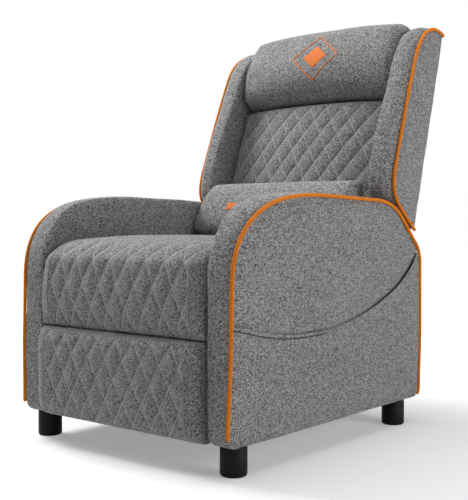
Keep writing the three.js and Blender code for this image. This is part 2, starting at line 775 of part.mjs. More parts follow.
addPair(back, 'wing', padded(wingEdge, wingRound, false, wingSoftness), fabric);
addPair(back, 'wing_piping', welt(wingEdge, false), orange);

// Rear cover, back cushion, headrest and lumbar pillow between the wings
const coverReach = innerX - seam;
const coverFoot = 60;
const cushionRear = strapFront - seam;

addPiece(back, 'back_cover', box(-coverReach, coverReach, frameRear + seam, frameRear + seam + coverThickness,
  coverFoot, backTop), fabric);

// The pillow stands where the crown of the seat falls away towards its rear
const pillowHeight = 167;
const pillowDepth = 110;
const pillowInset = 16;
const pillowHalf = cushionHalf - pillowInset;
const seatFall = 14.5;
const pillowLean = 160;
const pillowFoot = (seatCrown - seatFall - pivotHeight - pillowLean * Math.sin(backLean)) / Math.cos(backLean);
const cushionLift = 39;
const cushionFoot = pillowFoot + cushionLift;

// Shares of each pad's depth in front of its rear face, and of its height
const backFaceShares = [[0, 1], [0.573, 0.99], [0.813, 0.836], [0.973, 0.498], [1, 0.27], [0.84, 0.11],
  [0.467, 0.011], [0, 0]];
const backDrawIn = 8;
const backEdge = 10;
const backDroop = 30;

function backCushion() {
  const origin = point(cushionRear, cushionFoot);
  const face = new THREE.SplineCurve(placed(backFaceShares, origin, -backPadDepth, headFoot - seam - cushionFoot));
  return pad({ halfWidth: coverReach, face, faceSteps: quiltRows(face), flat: [], columns: quiltColumns,
    drawIn: backDrawIn, edge: backEdge, sideDrop: backDroop, quiltSink: quiltDepth });
}

// The headrest wraps over the top rail of the frame
const headFaceShares = [[0, 0.979], [0.263, 1], [0.726, 0.86], [1, 0.545], [1, 0.289], [0.789, 0.058], [0, 0]];
const headDrawIn = 8;
const headEdge = 12;
const headDroop = 26;
const wrapOverlap = 12;
const headFaceSteps = 13;
const softColumns = 10;

function headrest() {
  const origin = point(cushionRear, headFoot);
  const places = placed(headFaceShares, origin, -headDepth, headTop - headFoot);
  const face = new THREE.SplineCurve(places);
  const front = pad({ halfWidth: coverReach, face, faceSteps: headFaceSteps, flat: [], columns: softColumns,
    drawIn: headDrawIn, edge: headEdge, sideDrop: headDroop, quiltSink: 0 });
  const lowZ = stileTop + seam;
  const crest = places[0].y - seam;
  const side = new THREE.Shape();
  side.moveTo(cushionRear - wrapOverlap, lowZ);
  side.lineTo(frameRear, lowZ);
  side.quadraticCurveTo(frameRear, crest, cushionRear - seam, crest);
  side.lineTo(cushionRear - wrapOverlap, crest);
  side.closePath();
  return join([front, sideSlab(side, -coverReach, coverReach)]);
}

const pillowFaceShares = [[0.318, 1], [0.555, 0.916], [0.827, 0.629], [1, 0.275], [0.918, 0.072], [0.645, 0]];
const pillowRearShares = [[0.136, 0.084], [0, 0.359], [0, 0.641], [0.082, 0.904]];
const pillowNest = 3;
const pillowDrawIn = 22;
const pillowEdge = 18;
const pillowDroop = 12;
const pillowFaceSteps = 10;

function lumbarPillow() {
  const origin = point(cushionRear - backPadDepth + pillowNest, pillowFoot);
  const face = new THREE.SplineCurve(placed(pillowFaceShares, origin, -pillowDepth, pillowHeight));
  const flat = placed(pillowRearShares, origin, -pillowDepth, pillowHeight);
  return pad({ halfWidth: pillowHalf, face, faceSteps: pillowFaceSteps, flat, columns: softColumns,
    drawIn: pillowDrawIn, edge: pillowEdge, sideDrop: pillowDroop, quiltSink: 0 });
}

addPiece(back, 'back_cushion', backCushion(), quilt);
addPiece(back, 'headrest', headrest(), fabric);
addPiece(back, 'lumbar_pillow', lumbarPillow(), fabric);

// The origin is under the middle of the whole chair
chair.updateMatrixWorld(true);
const whole = new THREE.Box3().setFromObject(chair, true);
chair.position.y = -(whole.min.y + whole.max.y) / 2;
const model = new THREE.Group();
model.add(chair);

export default model;
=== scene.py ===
# %% [markdown]
# A push-back recliner stands on four short legs. Its timber and steel frame is already
# modelled at its real size, so this lesson dresses that frame: cloth, foam, piping and
# thread. Every cover could be placed by eye, but the frame knows where each piece sits,
# so each size below is read from it or is the real size of what an upholsterer sews.

# %% Load the frame
import json
import math

import bmesh
import bpy
import numpy as np
from mathutils import Matrix, Vector, noise
from mathutils.bvhtree import BVHTree
from mathutils.geometry import interpolate_bezier
from mathutils.kdtree import KDTree


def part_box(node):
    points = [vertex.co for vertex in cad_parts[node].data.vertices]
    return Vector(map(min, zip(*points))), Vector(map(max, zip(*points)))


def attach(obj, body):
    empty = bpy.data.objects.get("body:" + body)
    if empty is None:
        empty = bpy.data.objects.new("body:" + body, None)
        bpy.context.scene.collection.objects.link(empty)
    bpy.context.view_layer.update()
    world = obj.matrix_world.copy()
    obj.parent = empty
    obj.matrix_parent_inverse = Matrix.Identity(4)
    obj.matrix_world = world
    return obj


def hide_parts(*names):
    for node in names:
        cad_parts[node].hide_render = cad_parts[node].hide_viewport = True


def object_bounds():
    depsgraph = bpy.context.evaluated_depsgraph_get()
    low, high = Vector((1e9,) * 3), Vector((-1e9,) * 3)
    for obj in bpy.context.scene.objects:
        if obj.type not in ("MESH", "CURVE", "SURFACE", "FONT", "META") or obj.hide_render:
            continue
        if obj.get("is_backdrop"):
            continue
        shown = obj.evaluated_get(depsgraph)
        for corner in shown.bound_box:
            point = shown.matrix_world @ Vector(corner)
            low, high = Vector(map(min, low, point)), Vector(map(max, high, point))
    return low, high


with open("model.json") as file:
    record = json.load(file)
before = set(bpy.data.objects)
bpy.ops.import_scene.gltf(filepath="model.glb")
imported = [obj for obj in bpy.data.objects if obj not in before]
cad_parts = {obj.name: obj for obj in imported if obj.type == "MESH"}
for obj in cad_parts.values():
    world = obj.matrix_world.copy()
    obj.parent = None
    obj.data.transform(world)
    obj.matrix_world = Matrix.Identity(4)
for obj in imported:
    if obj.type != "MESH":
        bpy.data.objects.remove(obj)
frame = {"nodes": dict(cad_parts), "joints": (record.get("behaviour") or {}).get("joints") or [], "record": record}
cad_low, cad_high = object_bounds()
scene = bpy.context.scene
nodes = frame["nodes"]
print("frame size", [round(side, 4) for side in cad_high - cad_low])

# %% [markdown]
# Two functions place things. `upright` takes depths behind the front line of the arms and
# heights over the floor. `leaning` takes depths and heights in the frame of the back,
# which turns on the recline pins: the back's parts are modelled upright in it and tilted
# once. The back also narrows a little towards the top, so `leaning` draws its sides in.
# The cloth of arms and footrest hangs a centimetre lower than the solids inside it.

# %% Places in the chair
LEG_SETBACK = 0.052
REAR_PADDING = 0.041
HEM_DROP = 0.010
LEAN = math.radians(15.4)
OUTER = cad_high.x
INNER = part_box("side_panel_right")[0].x
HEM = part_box("arm_right")[0].z - HEM_DROP
ARM_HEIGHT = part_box("arm_right")[1].z
leg_low, leg_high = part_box("leg_front_right")
FRONT = (leg_low.y + leg_high.y) / 2 - LEG_SETBACK
ARM_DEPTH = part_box("side_panel_right")[1].y + REAR_PADDING - FRONT
PIVOT = Vector(next(j["pos_m"] for j in frame["joints"] if j["name"] == "back_recline"))
TILT = Matrix.Translation(PIVOT) @ Matrix.Rotation(-LEAN, 4, "X")
NARROWING = 0.065
FULL_WIDTH_AT = 0.30


def upright(point):
    return Vector((point[0], point[1] + FRONT, point[2]))


def leaning(point):
    width = 1 - NARROWING * (point[2] - FULL_WIDTH_AT)
    return TILT @ Vector((point[0] * width, point[1], point[2]))


print("arm depth", round(ARM_DEPTH, 4), "pivot", [round(c, 4) for c in PIVOT])

# %% [markdown]
# A finish is a small network of shader nodes. Written as plain node calls, a sum of two
# textures takes ten lines, so one class wraps an output socket and lets sums and products
# be written as Python. Everything else goes through one method, `node`.


# %% Shader maths as expressions
class Wire:
    """An output socket that can stand in a sum or a product."""

    def __init__(self, finish, socket):
        self.finish = finish
        self.socket = socket

    def apply(self, operation, first, second=0.0):
        return self.finish.node("ShaderNodeMath", {"operation": operation}, {0: first, 1: second})

    def __add__(self, other):
        return self.apply("ADD", self, other)

    __radd__ = __add__

    def __mul__(self, other):
        return self.apply("MULTIPLY", self, other)

    __rmul__ = __mul__

    def __sub__(self, other):
        return self.apply("SUBTRACT", self, other)

    def __rsub__(self, other):
        return self.apply("SUBTRACT", other, self)

    def __truediv__(self, other):
        return self.apply("DIVIDE", self, other)

    def __abs__(self):
        return self.apply("ABSOLUTE", self)

    def round(self):
        return self.apply("ROUND", self)

    def fraction(self):
        return self.apply("FRACT", self)

    def sine(self):
        return self.apply("SINE", self)

    def below(self, edge, softness):
        """1 where the value is under the edge, falling to 0 over the softness."""
        clamp = {"operation": "ADD", "use_clamp": True}
        return self.finish.node("ShaderNodeMath", clamp, {0: (edge - self) / softness, 1: 0.5})


class Finish:
    """The node tree of a material, or of a world, whose nodes are made by expressions."""

    def __init__(self, name, kind="materials"):
        self.owner = getattr(bpy.data, kind).new(name)
        self.owner.use_nodes = True
        self.tree = self.owner.node_tree
        self.tree.nodes.clear()

    def node(self, kind, settings=None, sockets=None, out=0):
        """Adds a node and gives its output, or a list of outputs where `out` is a tuple."""
        made = self.tree.nodes.new(kind)
        for key, value in (settings or {}).items():
            setattr(made, key, value)
        for key, value in (sockets or {}).items():
            if isinstance(value, Wire):
                self.tree.links.new(value.socket, made.inputs[key])
            else:
                made.inputs[key].default_value = value
        if isinstance(out, tuple):
            return [Wire(self, made.outputs[one]) for one in out]
        return Wire(self, made.outputs[out]) if len(made.outputs) else None

    def place(self, stretch=(1, 1, 1), turn=(0, 0, 0)):
        spot = self.node("ShaderNodeTexCoord", out="Object")
        return self.node("ShaderNodeMapping", None, {"Vector": spot, "Scale": stretch, "Rotation": turn})

    def noise(self, scale, detail=2.0, roughness=0.5, place=None):
        spot = place or self.place()
        sockets = {"Vector": spot, "Scale": scale, "Detail": detail, "Roughness": roughness}
        return self.node("ShaderNodeTexNoise", None, sockets)

    def flecks(self, scale, stretch):
        """A random grey for every cell of a yarn's size."""
        sockets = {"Vector": self.place(stretch), "Scale": scale}
        return self.node("ShaderNodeTexVoronoi", None, sockets, "Color")

    def bands(self, direction, scale, place=None, profile="SIN", **sockets):
        """Parallel waves: strands, ribs or plies."""
        settings = {"bands_direction": direction, "wave_profile": profile}
        named = {key.replace("_", " "): value for key, value in sockets.items()}
        spot = place or self.place()
        return self.node("ShaderNodeTexWave", settings, {"Vector": spot, "Scale": scale, **named})

    def mix(self, share, first, second):
        return self.node("ShaderNodeMix", {"data_type": "RGBA"}, {0: share, 6: first, 7: second}, 2)

    def bump(self, height, distance, strength=1.0):
        sockets = {"Height": height, "Distance": distance, "Strength": strength}
        return self.node("ShaderNodeBump", None, sockets)

    def surface(self, **sockets):
        named = {key.replace("_", " "): value for key, value in sockets.items()}
        shader = self.node("ShaderNodeBsdfPrincipled", None, named)
        self.node("ShaderNodeOutputMaterial", None, {"Surface": shader})
        return self.owner


def grey(level, warmth=0.0):
    """A linear grey; a little warmth lifts red and lowers blue."""
    return (level * (1 + warmth), level, level * (1 - warmth), 1)


# %% [markdown]
# The cloth is a melange: pale and charcoal fibres spun together, so from a step away it
# is mid grey with flecks about as wide as the yarn. A single noise looks like sand. Two
# sizes of fleck, one of them drawn out along the weft, look spun, and a plain lattice of
# sines under them gives the weave its bump. Quilted cloth is the same with a pale thread
# that follows the `quilt` map which the cushions carry.

# %% Cloth
DIAMOND_WIDTH = 0.0563
DIAMOND_HEIGHT = 0.1
STITCH = 0.0052
THREAD = 0.0011
THREAD_SHOWS = 0.92
THREAD_TONE = 0.62
DASH = 0.42
# The thread of the falling lines is painted at 0.6 of its brightness. This is painted shade: both sets use the
# same thread, and only the light differs.
FALLING_THREAD_PAINTED_SHADE = 0.6
CLOTH_PITCH = 0.0017
YARN_SCALE = 500
SLUB_SCALE = 310
FIBRE_SCALE = 900
CLOTH_RELIEF = 0.0006


def weave(finish, pitch):
    places = finish.node("ShaderNodeSeparateXYZ", None, {0: finish.place()}, (0, 1, 2))
    waves = [(place * (2 * math.pi / pitch)).sine() for place in places]
    return waves[0] * waves[1] + waves[1] * waves[2] + waves[2] * waves[0]


def quilting_thread(cloth):
    """1 on the stitches of the rising lines and less on the falling ones, whose thread is dimmed as painted shade;
    0 between them.
    """
    uv = cloth.node("ShaderNodeUVMap", {"uv_map": "quilt"})
    across, along = cloth.node("ShaderNodeSeparateXYZ", None, {0: uv}, (0, 1))
    sewn = cloth.node("ShaderNodeAttribute", {"attribute_name": "sewn"}, out="Fac")
    slope = math.hypot(1 / DIAMOND_WIDTH, 1 / DIAMOND_HEIGHT)
    stitches = 0.5 * math.hypot(DIAMOND_WIDTH, DIAMOND_HEIGHT) / STITCH
    falling, rising = across - along, across + along
    threads = 0.0
    # The falling lines' thread is dimmed by the painted-shade factor.
    for first, second, lit_share in ((rising, falling, 1.0), (falling, rising, FALLING_THREAD_PAINTED_SHADE)):
        line = abs(first - first.round()) / slope
        dash = abs((second * stitches).fraction() - 0.5).below(DASH, 0.1)
        threads = line.below(THREAD, THREAD * 0.8) * dash * lit_share + threads
    return cloth.node("ShaderNodeClamp", None, {0: threads * sewn})


def melange(name, dark, light, warmth, quilted=False):
    cloth = Finish(name)
    yarn = cloth.flecks(YARN_SCALE, (1, 1, 1.3))
    slub = cloth.flecks(SLUB_SCALE, (1, 1, 1.9))
    fine = cloth.noise(FIBRE_SCALE, 1.0, 0.6)
    patch = cloth.noise(7, 2.0, 0.5)
    tone = (yarn - 0.5) * 2.3 + (slub - 0.5) * 1.3 + (fine - 0.5) * 1.3 + (patch - 0.5) * 0.3 + 0.5
    share = cloth.node("ShaderNodeClamp", None, {0: tone})
    color = cloth.mix(share, grey(dark, warmth), grey(light, warmth))
    height = weave(cloth, CLOTH_PITCH) * 0.25 + fine * 0.6 + yarn * 0.5
    if quilted:
        thread = quilting_thread(cloth)
        color = cloth.mix(thread * THREAD_SHOWS, color, grey(THREAD_TONE, warmth))
        height = height + thread * 1.5
    rough = 0.9 + (fine - 0.5) * 0.12
    return cloth.surface(Base_Color=color, Roughness=rough, Normal=cloth.bump(height, CLOTH_RELIEF, 0.75),
                         Sheen_Weight=0.3, Sheen_Roughness=0.35)


plain_cloth = melange("plain_melange", 0.042, 0.45, 0.004)
quilt_cloth = melange("quilted_melange", 0.050, 0.41, 0.02, quilted=True)
print("cloth finishes", plain_cloth.name, quilt_cloth.name)

# %% [markdown]
# Piping is a bias-cut strip of orange cloth round a cord, so its weave runs at a slant.
# The sewn marks use the same orange in satin stitch: fine parallel strands that catch
# the light along one direction.


# %% Orange cloth and thread
def bias_cloth():
    cloth = Finish("orange_piping_cloth")
    slant = cloth.place(turn=(0.5, 0.8, 0.4))
    strand = cloth.bands("DIAGONAL", 260, slant, Distortion=1.5, Detail=1.0)
    soil = cloth.noise(40, 3.0, 0.6)
    color = cloth.mix(soil, (0.66, 0.165, 0.006, 1), (0.88, 0.26, 0.010, 1))
    height = strand * 0.5 + cloth.noise(900, 1.0) * 0.5
    return cloth.surface(Base_Color=color, Roughness=0.72 + soil * 0.12,
                         Normal=cloth.bump(height, 0.0004, 0.6), Specular_IOR_Level=0.2, Sheen_Weight=0.03)


def satin_thread(name, dark, light):
    thread = Finish(name)
    strand = thread.bands("X", 520, Distortion=2.0, Detail=1.0)
    color = thread.mix(strand, dark, light)
    return thread.surface(Base_Color=color, Roughness=0.5 + strand * 0.15,
                          Normal=thread.bump(strand, 0.0003, 0.7), Specular_IOR_Level=0.2)


piping_cloth = bias_cloth()
orange_thread = satin_thread("orange_satin_thread", (0.78, 0.15, 0.003, 1), (0.98, 0.25, 0.006, 1))
grey_thread = satin_thread("grey_sewing_thread", grey(0.24, 0.01), grey(0.46, 0.01))
# The near-black thread paints shade: it draws the dark lines of the pocket's hem groove and of the gap under the
# pocket's edge.
shade_dark_thread = satin_thread("dark_thread_painted_shade", grey(0.02), grey(0.05))
print("threads", [thread.name for thread in (orange_thread, grey_thread, shade_dark_thread)])

# %% [markdown]
# The hard parts show less, but every one is seen when the chair opens. The legs are
# moulded plastic with a fine spark texture and a faint dust bloom, the timber is raw
# plywood, and the mechanism is powder-coated steel with bright zigzag springs.


# %% Hard finishes
def moulded():
    plastic = Finish("black_moulded_plastic")
    grain = plastic.noise(1300, 2.0, 0.6)
    bloom = plastic.noise(22, 3.0, 0.6)
    color = plastic.mix(bloom, grey(0.004), grey(0.007))
    return plastic.surface(Base_Color=color, Roughness=0.46 + bloom * 0.16, Specular_IOR_Level=0.12,
                           Normal=plastic.bump(grain, 0.00012, 0.5))


def raw_plywood():
    wood = Finish("raw_plywood")
    rings = wood.bands("Z", 26, wood.place((0.25, 0.12, 1)), "SAW", Distortion=7.0, Detail=3.0,
                       Detail_Scale=1.4)
    pores = wood.noise(210, 2.0, 0.6, wood.place((0.12, 0.12, 1)))
    patch = wood.noise(5, 2.0)
    veneer = wood.mix(rings * 0.6 + patch * 0.4, (0.50, 0.33, 0.19, 1), (0.68, 0.50, 0.32, 1))
    color = wood.mix(pores.below(0.42, 0.12) * 0.35, veneer, (0.30, 0.18, 0.09, 1))
    return wood.surface(Base_Color=color, Roughness=0.66 + pores * 0.2,
                        Normal=wood.bump(pores + rings * 0.3, 0.0004, 0.5))


def powder_coat():
    coat = Finish("black_powder_coat")
    peel = coat.noise(620, 2.0, 0.6)
    rub = coat.noise(35, 4.0, 0.7)
    worn = rub.below(0.36, 0.06)
    color = coat.mix(worn * 0.5, grey(0.022), grey(0.12))
    return coat.surface(Base_Color=color, Roughness=0.42 - worn * 0.1, Metallic=0.25 + worn * 0.5,
                        Normal=coat.bump(peel, 0.0002, 0.5))


def bright_wire():
    wire = Finish("bright_spring_wire")
    drawn = wire.noise(420, 2.0, 0.6, wire.place((1, 0.08, 1)))
    color = wire.mix(drawn, grey(0.33), grey(0.52, 0.01))
    return wire.surface(Base_Color=color, Metallic=1.0, Roughness=0.26 + drawn * 0.16,
                        Normal=wire.bump(drawn, 0.0001, 0.4))


def elastic_web():
    web = Finish("black_elastic_web")
    rib = web.bands("X", 130, Distortion=0.4)
    pick = weave(web, 0.0022)
    color = web.mix(rib * 0.7 + web.noise(600) * 0.3, grey(0.016), grey(0.06))
    return web.surface(Base_Color=color, Roughness=0.8 + rib * 0.1, Sheen_Weight=0.1,
                       Normal=web.bump(rib + pick * 0.3, 0.0007, 0.8))


plastic = moulded()
plywood = raw_plywood()
steel = powder_coat()
zinc = bright_wire()
webbing = elastic_web()
FRAME_FINISHES = {"plywood": plywood, "black_steel": steel, "spring_steel": zinc, "webbing": webbing,
                  "black_plastic": plastic, "grey_fabric": plain_cloth, "quilted_fabric": quilt_cloth,
                  "orange_piping": piping_cloth}
for part in frame["record"]["subparts"]:
    finish = FRAME_FINISHES[part["material_slot"]]
    node = nodes[part["node"]]
    node.data.materials.clear()
    node.data.materials.append(finish)

# %% [markdown]
# Side views are drawn as an upholsterer's template is: a few corner points with straight
# and curved runs between them. `trace` walks such a template and `even` sets points along
# it at equal steps, because cloth wants squares of one size.


# %% Templates
def trace(start, *runs):
    """Follows runs of 1 point (straight), 2 (one pull) or 3 (two pulls and the end)."""
    path = [Vector(start)]
    for run in runs:
        here = path[-1]
        marks = [Vector(mark) for mark in run]
        if len(marks) == 1:
            path.append(marks[0])
            continue
        if len(marks) == 2:
            pull, end = marks
            marks = [here.lerp(pull, 2 / 3), end.lerp(pull, 2 / 3), end]
        path.extend(interpolate_bezier(here, *marks, 24)[1:])
    return path


def smooth_path(knots, steps=16):
    """A soft curve through the knots, bending by the neighbours of each."""
    path = [Vector(knots[0])]
    for k in range(len(knots) - 1):
        here, there = Vector(knots[k]), Vector(knots[k + 1])
        before = Vector(knots[max(k - 1, 0)])
        after = Vector(knots[min(k + 2, len(knots) - 1)])
        pulls = here + (there - before) / 6, there - (after - here) / 6
        path.extend(interpolate_bezier(here, pulls[0], pulls[1], there, steps)[1:])
    return path


def even(path, step, closed=False):
    points = np.array([tuple(p) for p in path] + ([tuple(path[0])] if closed else []))
    run = np.concatenate([[0], np.cumsum(np.linalg.norm(np.diff(points, axis=0), axis=1))])
    count = max(2, round(run[-1] / step))
    spots = np.linspace(0, run[-1], count + 1)
    made = np.stack([np.interp(spots, run, points[:, k]) for k in range(points.shape[1])], axis=1)
    return [Vector(row) for row in (made[:-1] if closed else made)]


def outward(path, k, closed=True):
    """The outward direction at point k of a path drawn anticlockwise in depth and height."""
    last = len(path) - 1
    before = path[k - 1] if closed or k > 0 else path[0]
    after = path[(k + 1) % len(path)] if closed or k < last else path[last]
    return Vector((after.y - before.y, before.x - after.x)).normalized()


def shares(table, origin, depth, height):
    return [Vector((origin[0] + y * depth, origin[1] + z * height)) for y, z in table]


# %% [markdown]
# A few helpers make every piece. `finished` turns a bmesh into an object and registers it
# with the frame, and `swept` runs a round section along a path, for piping and wire.
# Measures and places are read from a mesh and written back all at once, because a loop
# over a hundred thousand points is slow.


# %% Making pieces
def laid_down(name, data):
    """An object at the origin that holds a mesh, a lamp or a camera."""
    piece = bpy.data.objects.new(name, data)
    scene.collection.objects.link(piece)
    return piece


def raw(name, bm):
    """An object of what the bmesh holds, still without a finish."""
    mesh = bpy.data.meshes.new(name)
    bm.normal_update()
    bm.to_mesh(mesh)
    bm.free()
    return laid_down(name, mesh)


def finished(name, bm, body, finish, replaces=()):
    return register(raw(name, bm), body, finish, replaces)


def register(piece, body, finish, replaces=()):
    piece.data.materials.clear()
    piece.data.materials.append(finish)
    piece.data.polygons.foreach_set("use_smooth", [True] * len(piece.data.polygons))
    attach(piece, body)
    if replaces:
        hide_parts(*replaces)
    return piece


def applied(piece):
    """Replaces the mesh by what the piece's modifiers make of it."""
    graph = bpy.context.evaluated_depsgraph_get()
    mesh = bpy.data.meshes.new_from_object(piece.evaluated_get(graph), preserve_all_data_layers=True,
                                           depsgraph=graph)
    piece.modifiers.clear()
    piece.data = mesh
    return piece


def divided(piece):
    modifier = piece.modifiers.new("finer", "SUBSURF")
    modifier.levels = 1
    modifier.render_levels = 1
    return applied(piece)


def thickened(piece, thickness):
    """Gives a sheet its thickness on the side it lies on."""
    modifier = piece.modifiers.new("thickness", "SOLIDIFY")
    modifier.thickness = thickness
    modifier.offset = -1
    return applied(piece)


def facing(bm, way):
    """Turns the faces of a sheet so that they look along the way."""
    bmesh.ops.recalc_face_normals(bm, faces=bm.faces)
    for face in bm.faces:
        if face.normal.dot(way) < 0:
            face.normal_flip()


END_ANGLES = [math.radians(angle) for angle in (88, 66, 44, 22)]
SAME_PLACE = 1e-6
TINY = 1e-9


def domed(path, radius):
    """Lengthens a path by a round end at each side: its places and the share of the radius there."""
    start = (path[0] - path[1]).normalized() * radius
    stop = (path[-1] - path[-2]).normalized() * radius
    places = [path[0] + start * math.sin(angle) for angle in END_ANGLES] + list(path)
    places += [path[-1] + stop * math.sin(angle) for angle in reversed(END_ANGLES)]
    ends = [math.cos(angle) for angle in END_ANGLES]
    return places, ends + [1.0] * len(path) + ends[::-1]


def swept(name, path, radius, body, finish, replaces=(), closed=False, sides=3):
    path, sizes = (path, [1.0] * len(path)) if closed else domed(path, radius)
    line = bpy.data.curves.new(name, "CURVE")
    line.dimensions = "3D"
    line.bevel_depth = radius
    line.bevel_resolution = sides
    line.use_fill_caps = True
    spline = line.splines.new("POLY")
    spline.points.add(len(path) - 1)
    spline.points.foreach_set("co", [c for p in path for c in (*p, 1)])
    spline.points.foreach_set("radius", sizes)
    spline.use_cyclic_u = closed
    curve = laid_down(name, line)
    mesh = bpy.data.meshes.new_from_object(curve.evaluated_get(bpy.context.evaluated_depsgraph_get()))
    bpy.data.objects.remove(curve)
    return register(laid_down(name, mesh), body, finish, replaces)


def coordinates(mesh):
    flat = np.empty(len(mesh.vertices) * 3)
    mesh.vertices.foreach_get("co", flat)
    return flat.reshape(-1, 3)


def measure(mesh, key):
    """A number that the mesh carries at every point."""
    values = np.empty(len(mesh.vertices), np.float32)
    mesh.attributes[key].data.foreach_get("value", values)
    return values


def placed(mesh, spots):
    """Writes a place for every point."""
    mesh.vertices.foreach_set("co", np.asarray(spots).ravel())
    mesh.update()


def raised(mesh, lift):
    """Moves every point along its normal."""
    normals = np.empty(len(mesh.vertices) * 3)
    mesh.vertices.foreach_get("normal", normals)
    placed(mesh, coordinates(mesh) + normals.reshape(-1, 3) * lift[:, None])


def ripple(place, size, seed=0.0):
    """Slow unevenness of foam and hand work, from -1 to 1."""
    return noise.noise(Vector((place[0] / size + seed, place[1] / size - seed, place[2] / size + 2 * seed)))


# %% [markdown]
# `inflate` is the sewing room's secret: it blows a piece up a little with the cloth
# solver while its seams are held, so foam swells between the stitches and small creases
# appear by themselves. Foam could be sculpted with bumps alone, but then every cushion
# bulges alike. The movement is capped softly, so a cushion keeps its real size.

# %% Swelling foam
FRAMES = 16
LIGHT_CLOTH = {"quality": 4, "mass": 0.25, "tension_stiffness": 18, "compression_stiffness": 18,
               "shear_stiffness": 6, "bending_stiffness": 0.6, "tension_damping": 12,
               "compression_damping": 12, "use_pressure": True}


def inflate(piece, pressure, cap):
    """Swells the loose cloth; the point attribute `hold` says how firmly each place is sewn."""
    rest = coordinates(piece.data)
    group = piece.vertex_groups.new(name="sewn_down")
    for place, weight in enumerate(measure(piece.data, "hold")):
        group.add([place], float(weight), "REPLACE")
    cloth = piece.modifiers.new("blow up", "CLOTH")
    for key, value in LIGHT_CLOTH.items():
        setattr(cloth.settings, key, value)
    cloth.settings.uniform_pressure_force = pressure
    cloth.settings.effector_weights.gravity = 0
    cloth.settings.vertex_group_mass = group.name
    cloth.point_cache.frame_start = 1
    cloth.point_cache.frame_end = FRAMES
    for step in range(1, FRAMES + 1):
        scene.frame_set(step)
    seen = piece.evaluated_get(bpy.context.evaluated_depsgraph_get())
    moved = coordinates(seen.data) - rest
    scene.frame_set(1)
    length = np.linalg.norm(moved, axis=1)
    reach = cap * np.tanh(length / cap)
    moved *= (reach / np.maximum(length, TINY))[:, None]
    piece.modifiers.clear()
    piece.vertex_groups.clear()
    placed(piece.data, rest + moved)
    print(piece.name, "swelled by up to", round(float(length.max()) * 1000, 1), "mm")


# %% [markdown]
# Seat, footrest, back, headrest and lumbar pillow are all the same kind of thing: a side
# view carried across the chair, with ends that draw in. A grid is wrapped round the side
# view and its ends are filled, which keeps the squares even and lets the quilting be
# worked out in the cloth's own two directions: across the chair and along the cover.

# %% Quilted field
SOFT_LINE = 0.7
LINE_GRIP = 0.0034


def soft_step(value):
    t = min(max(value, 0.0), 1.0)
    return t * t * (3 - 2 * t)


class Quilt:
    """Diamond quilting over part of a cover; its falling lines are sewn with a looser thread."""

    def __init__(self, side, start, stop, height, crossing, fade=0.008, top_fade=0.008, depth=0.0052):
        self.side = side
        self.start = start
        self.stop = stop
        self.height = height
        self.crossing = crossing
        self.fade = fade
        self.top_fade = top_fade
        self.depth = depth
        self.slope = math.hypot(1 / DIAMOND_WIDTH, 1 / height)

    def turns(self, x, along):
        return (x - self.crossing[0]) / DIAMOND_WIDTH, (along - self.crossing[1]) / self.height

    def line_distances(self, x, along):
        """How far the nearest rising and the nearest falling line are."""
        u, v = self.turns(x, along)
        return [abs(t - round(t)) / self.slope for t in (u + v, u - v)]

    def share(self, x, along):
        """1 inside the quilted field, 0 outside it."""
        inside = min((self.side - abs(x)) / self.fade, (along - self.start) / self.top_fade,
                     (self.stop - along) / self.fade)
        return min(max(inside, 0.0), 1.0)

    def sewn_down(self, x, along):
        """How firmly the quilting holds the cover: 1 on a line, fading beside it."""
        field = self.share(x, along)
        nears = zip(self.line_distances(x, along), (1.0, SOFT_LINE))
        return max(pull * field * math.exp(-((near / LINE_GRIP) ** 2)) for near, pull in nears)


# %% [markdown]
# The ends of a cushion draw in because the cover is pulled round a corner of foam: the
# sink follows a quarter circle over `edge`, is deepest on the middle of the cover, and
# `droop` lets the whole width crown a little. The seams and every quilted line get their
# `hold` here, before anything swells.

# %% A cushion from its side view
CELL = 0.0048
SLIP = 0.004
EASE = 0.03
GAP_CELLS = 3
CORNER_SHARE = 0.3
ARCH = 1.6


def length_of(path):
    return sum((b - a).length for a, b in zip(path, path[1:]))


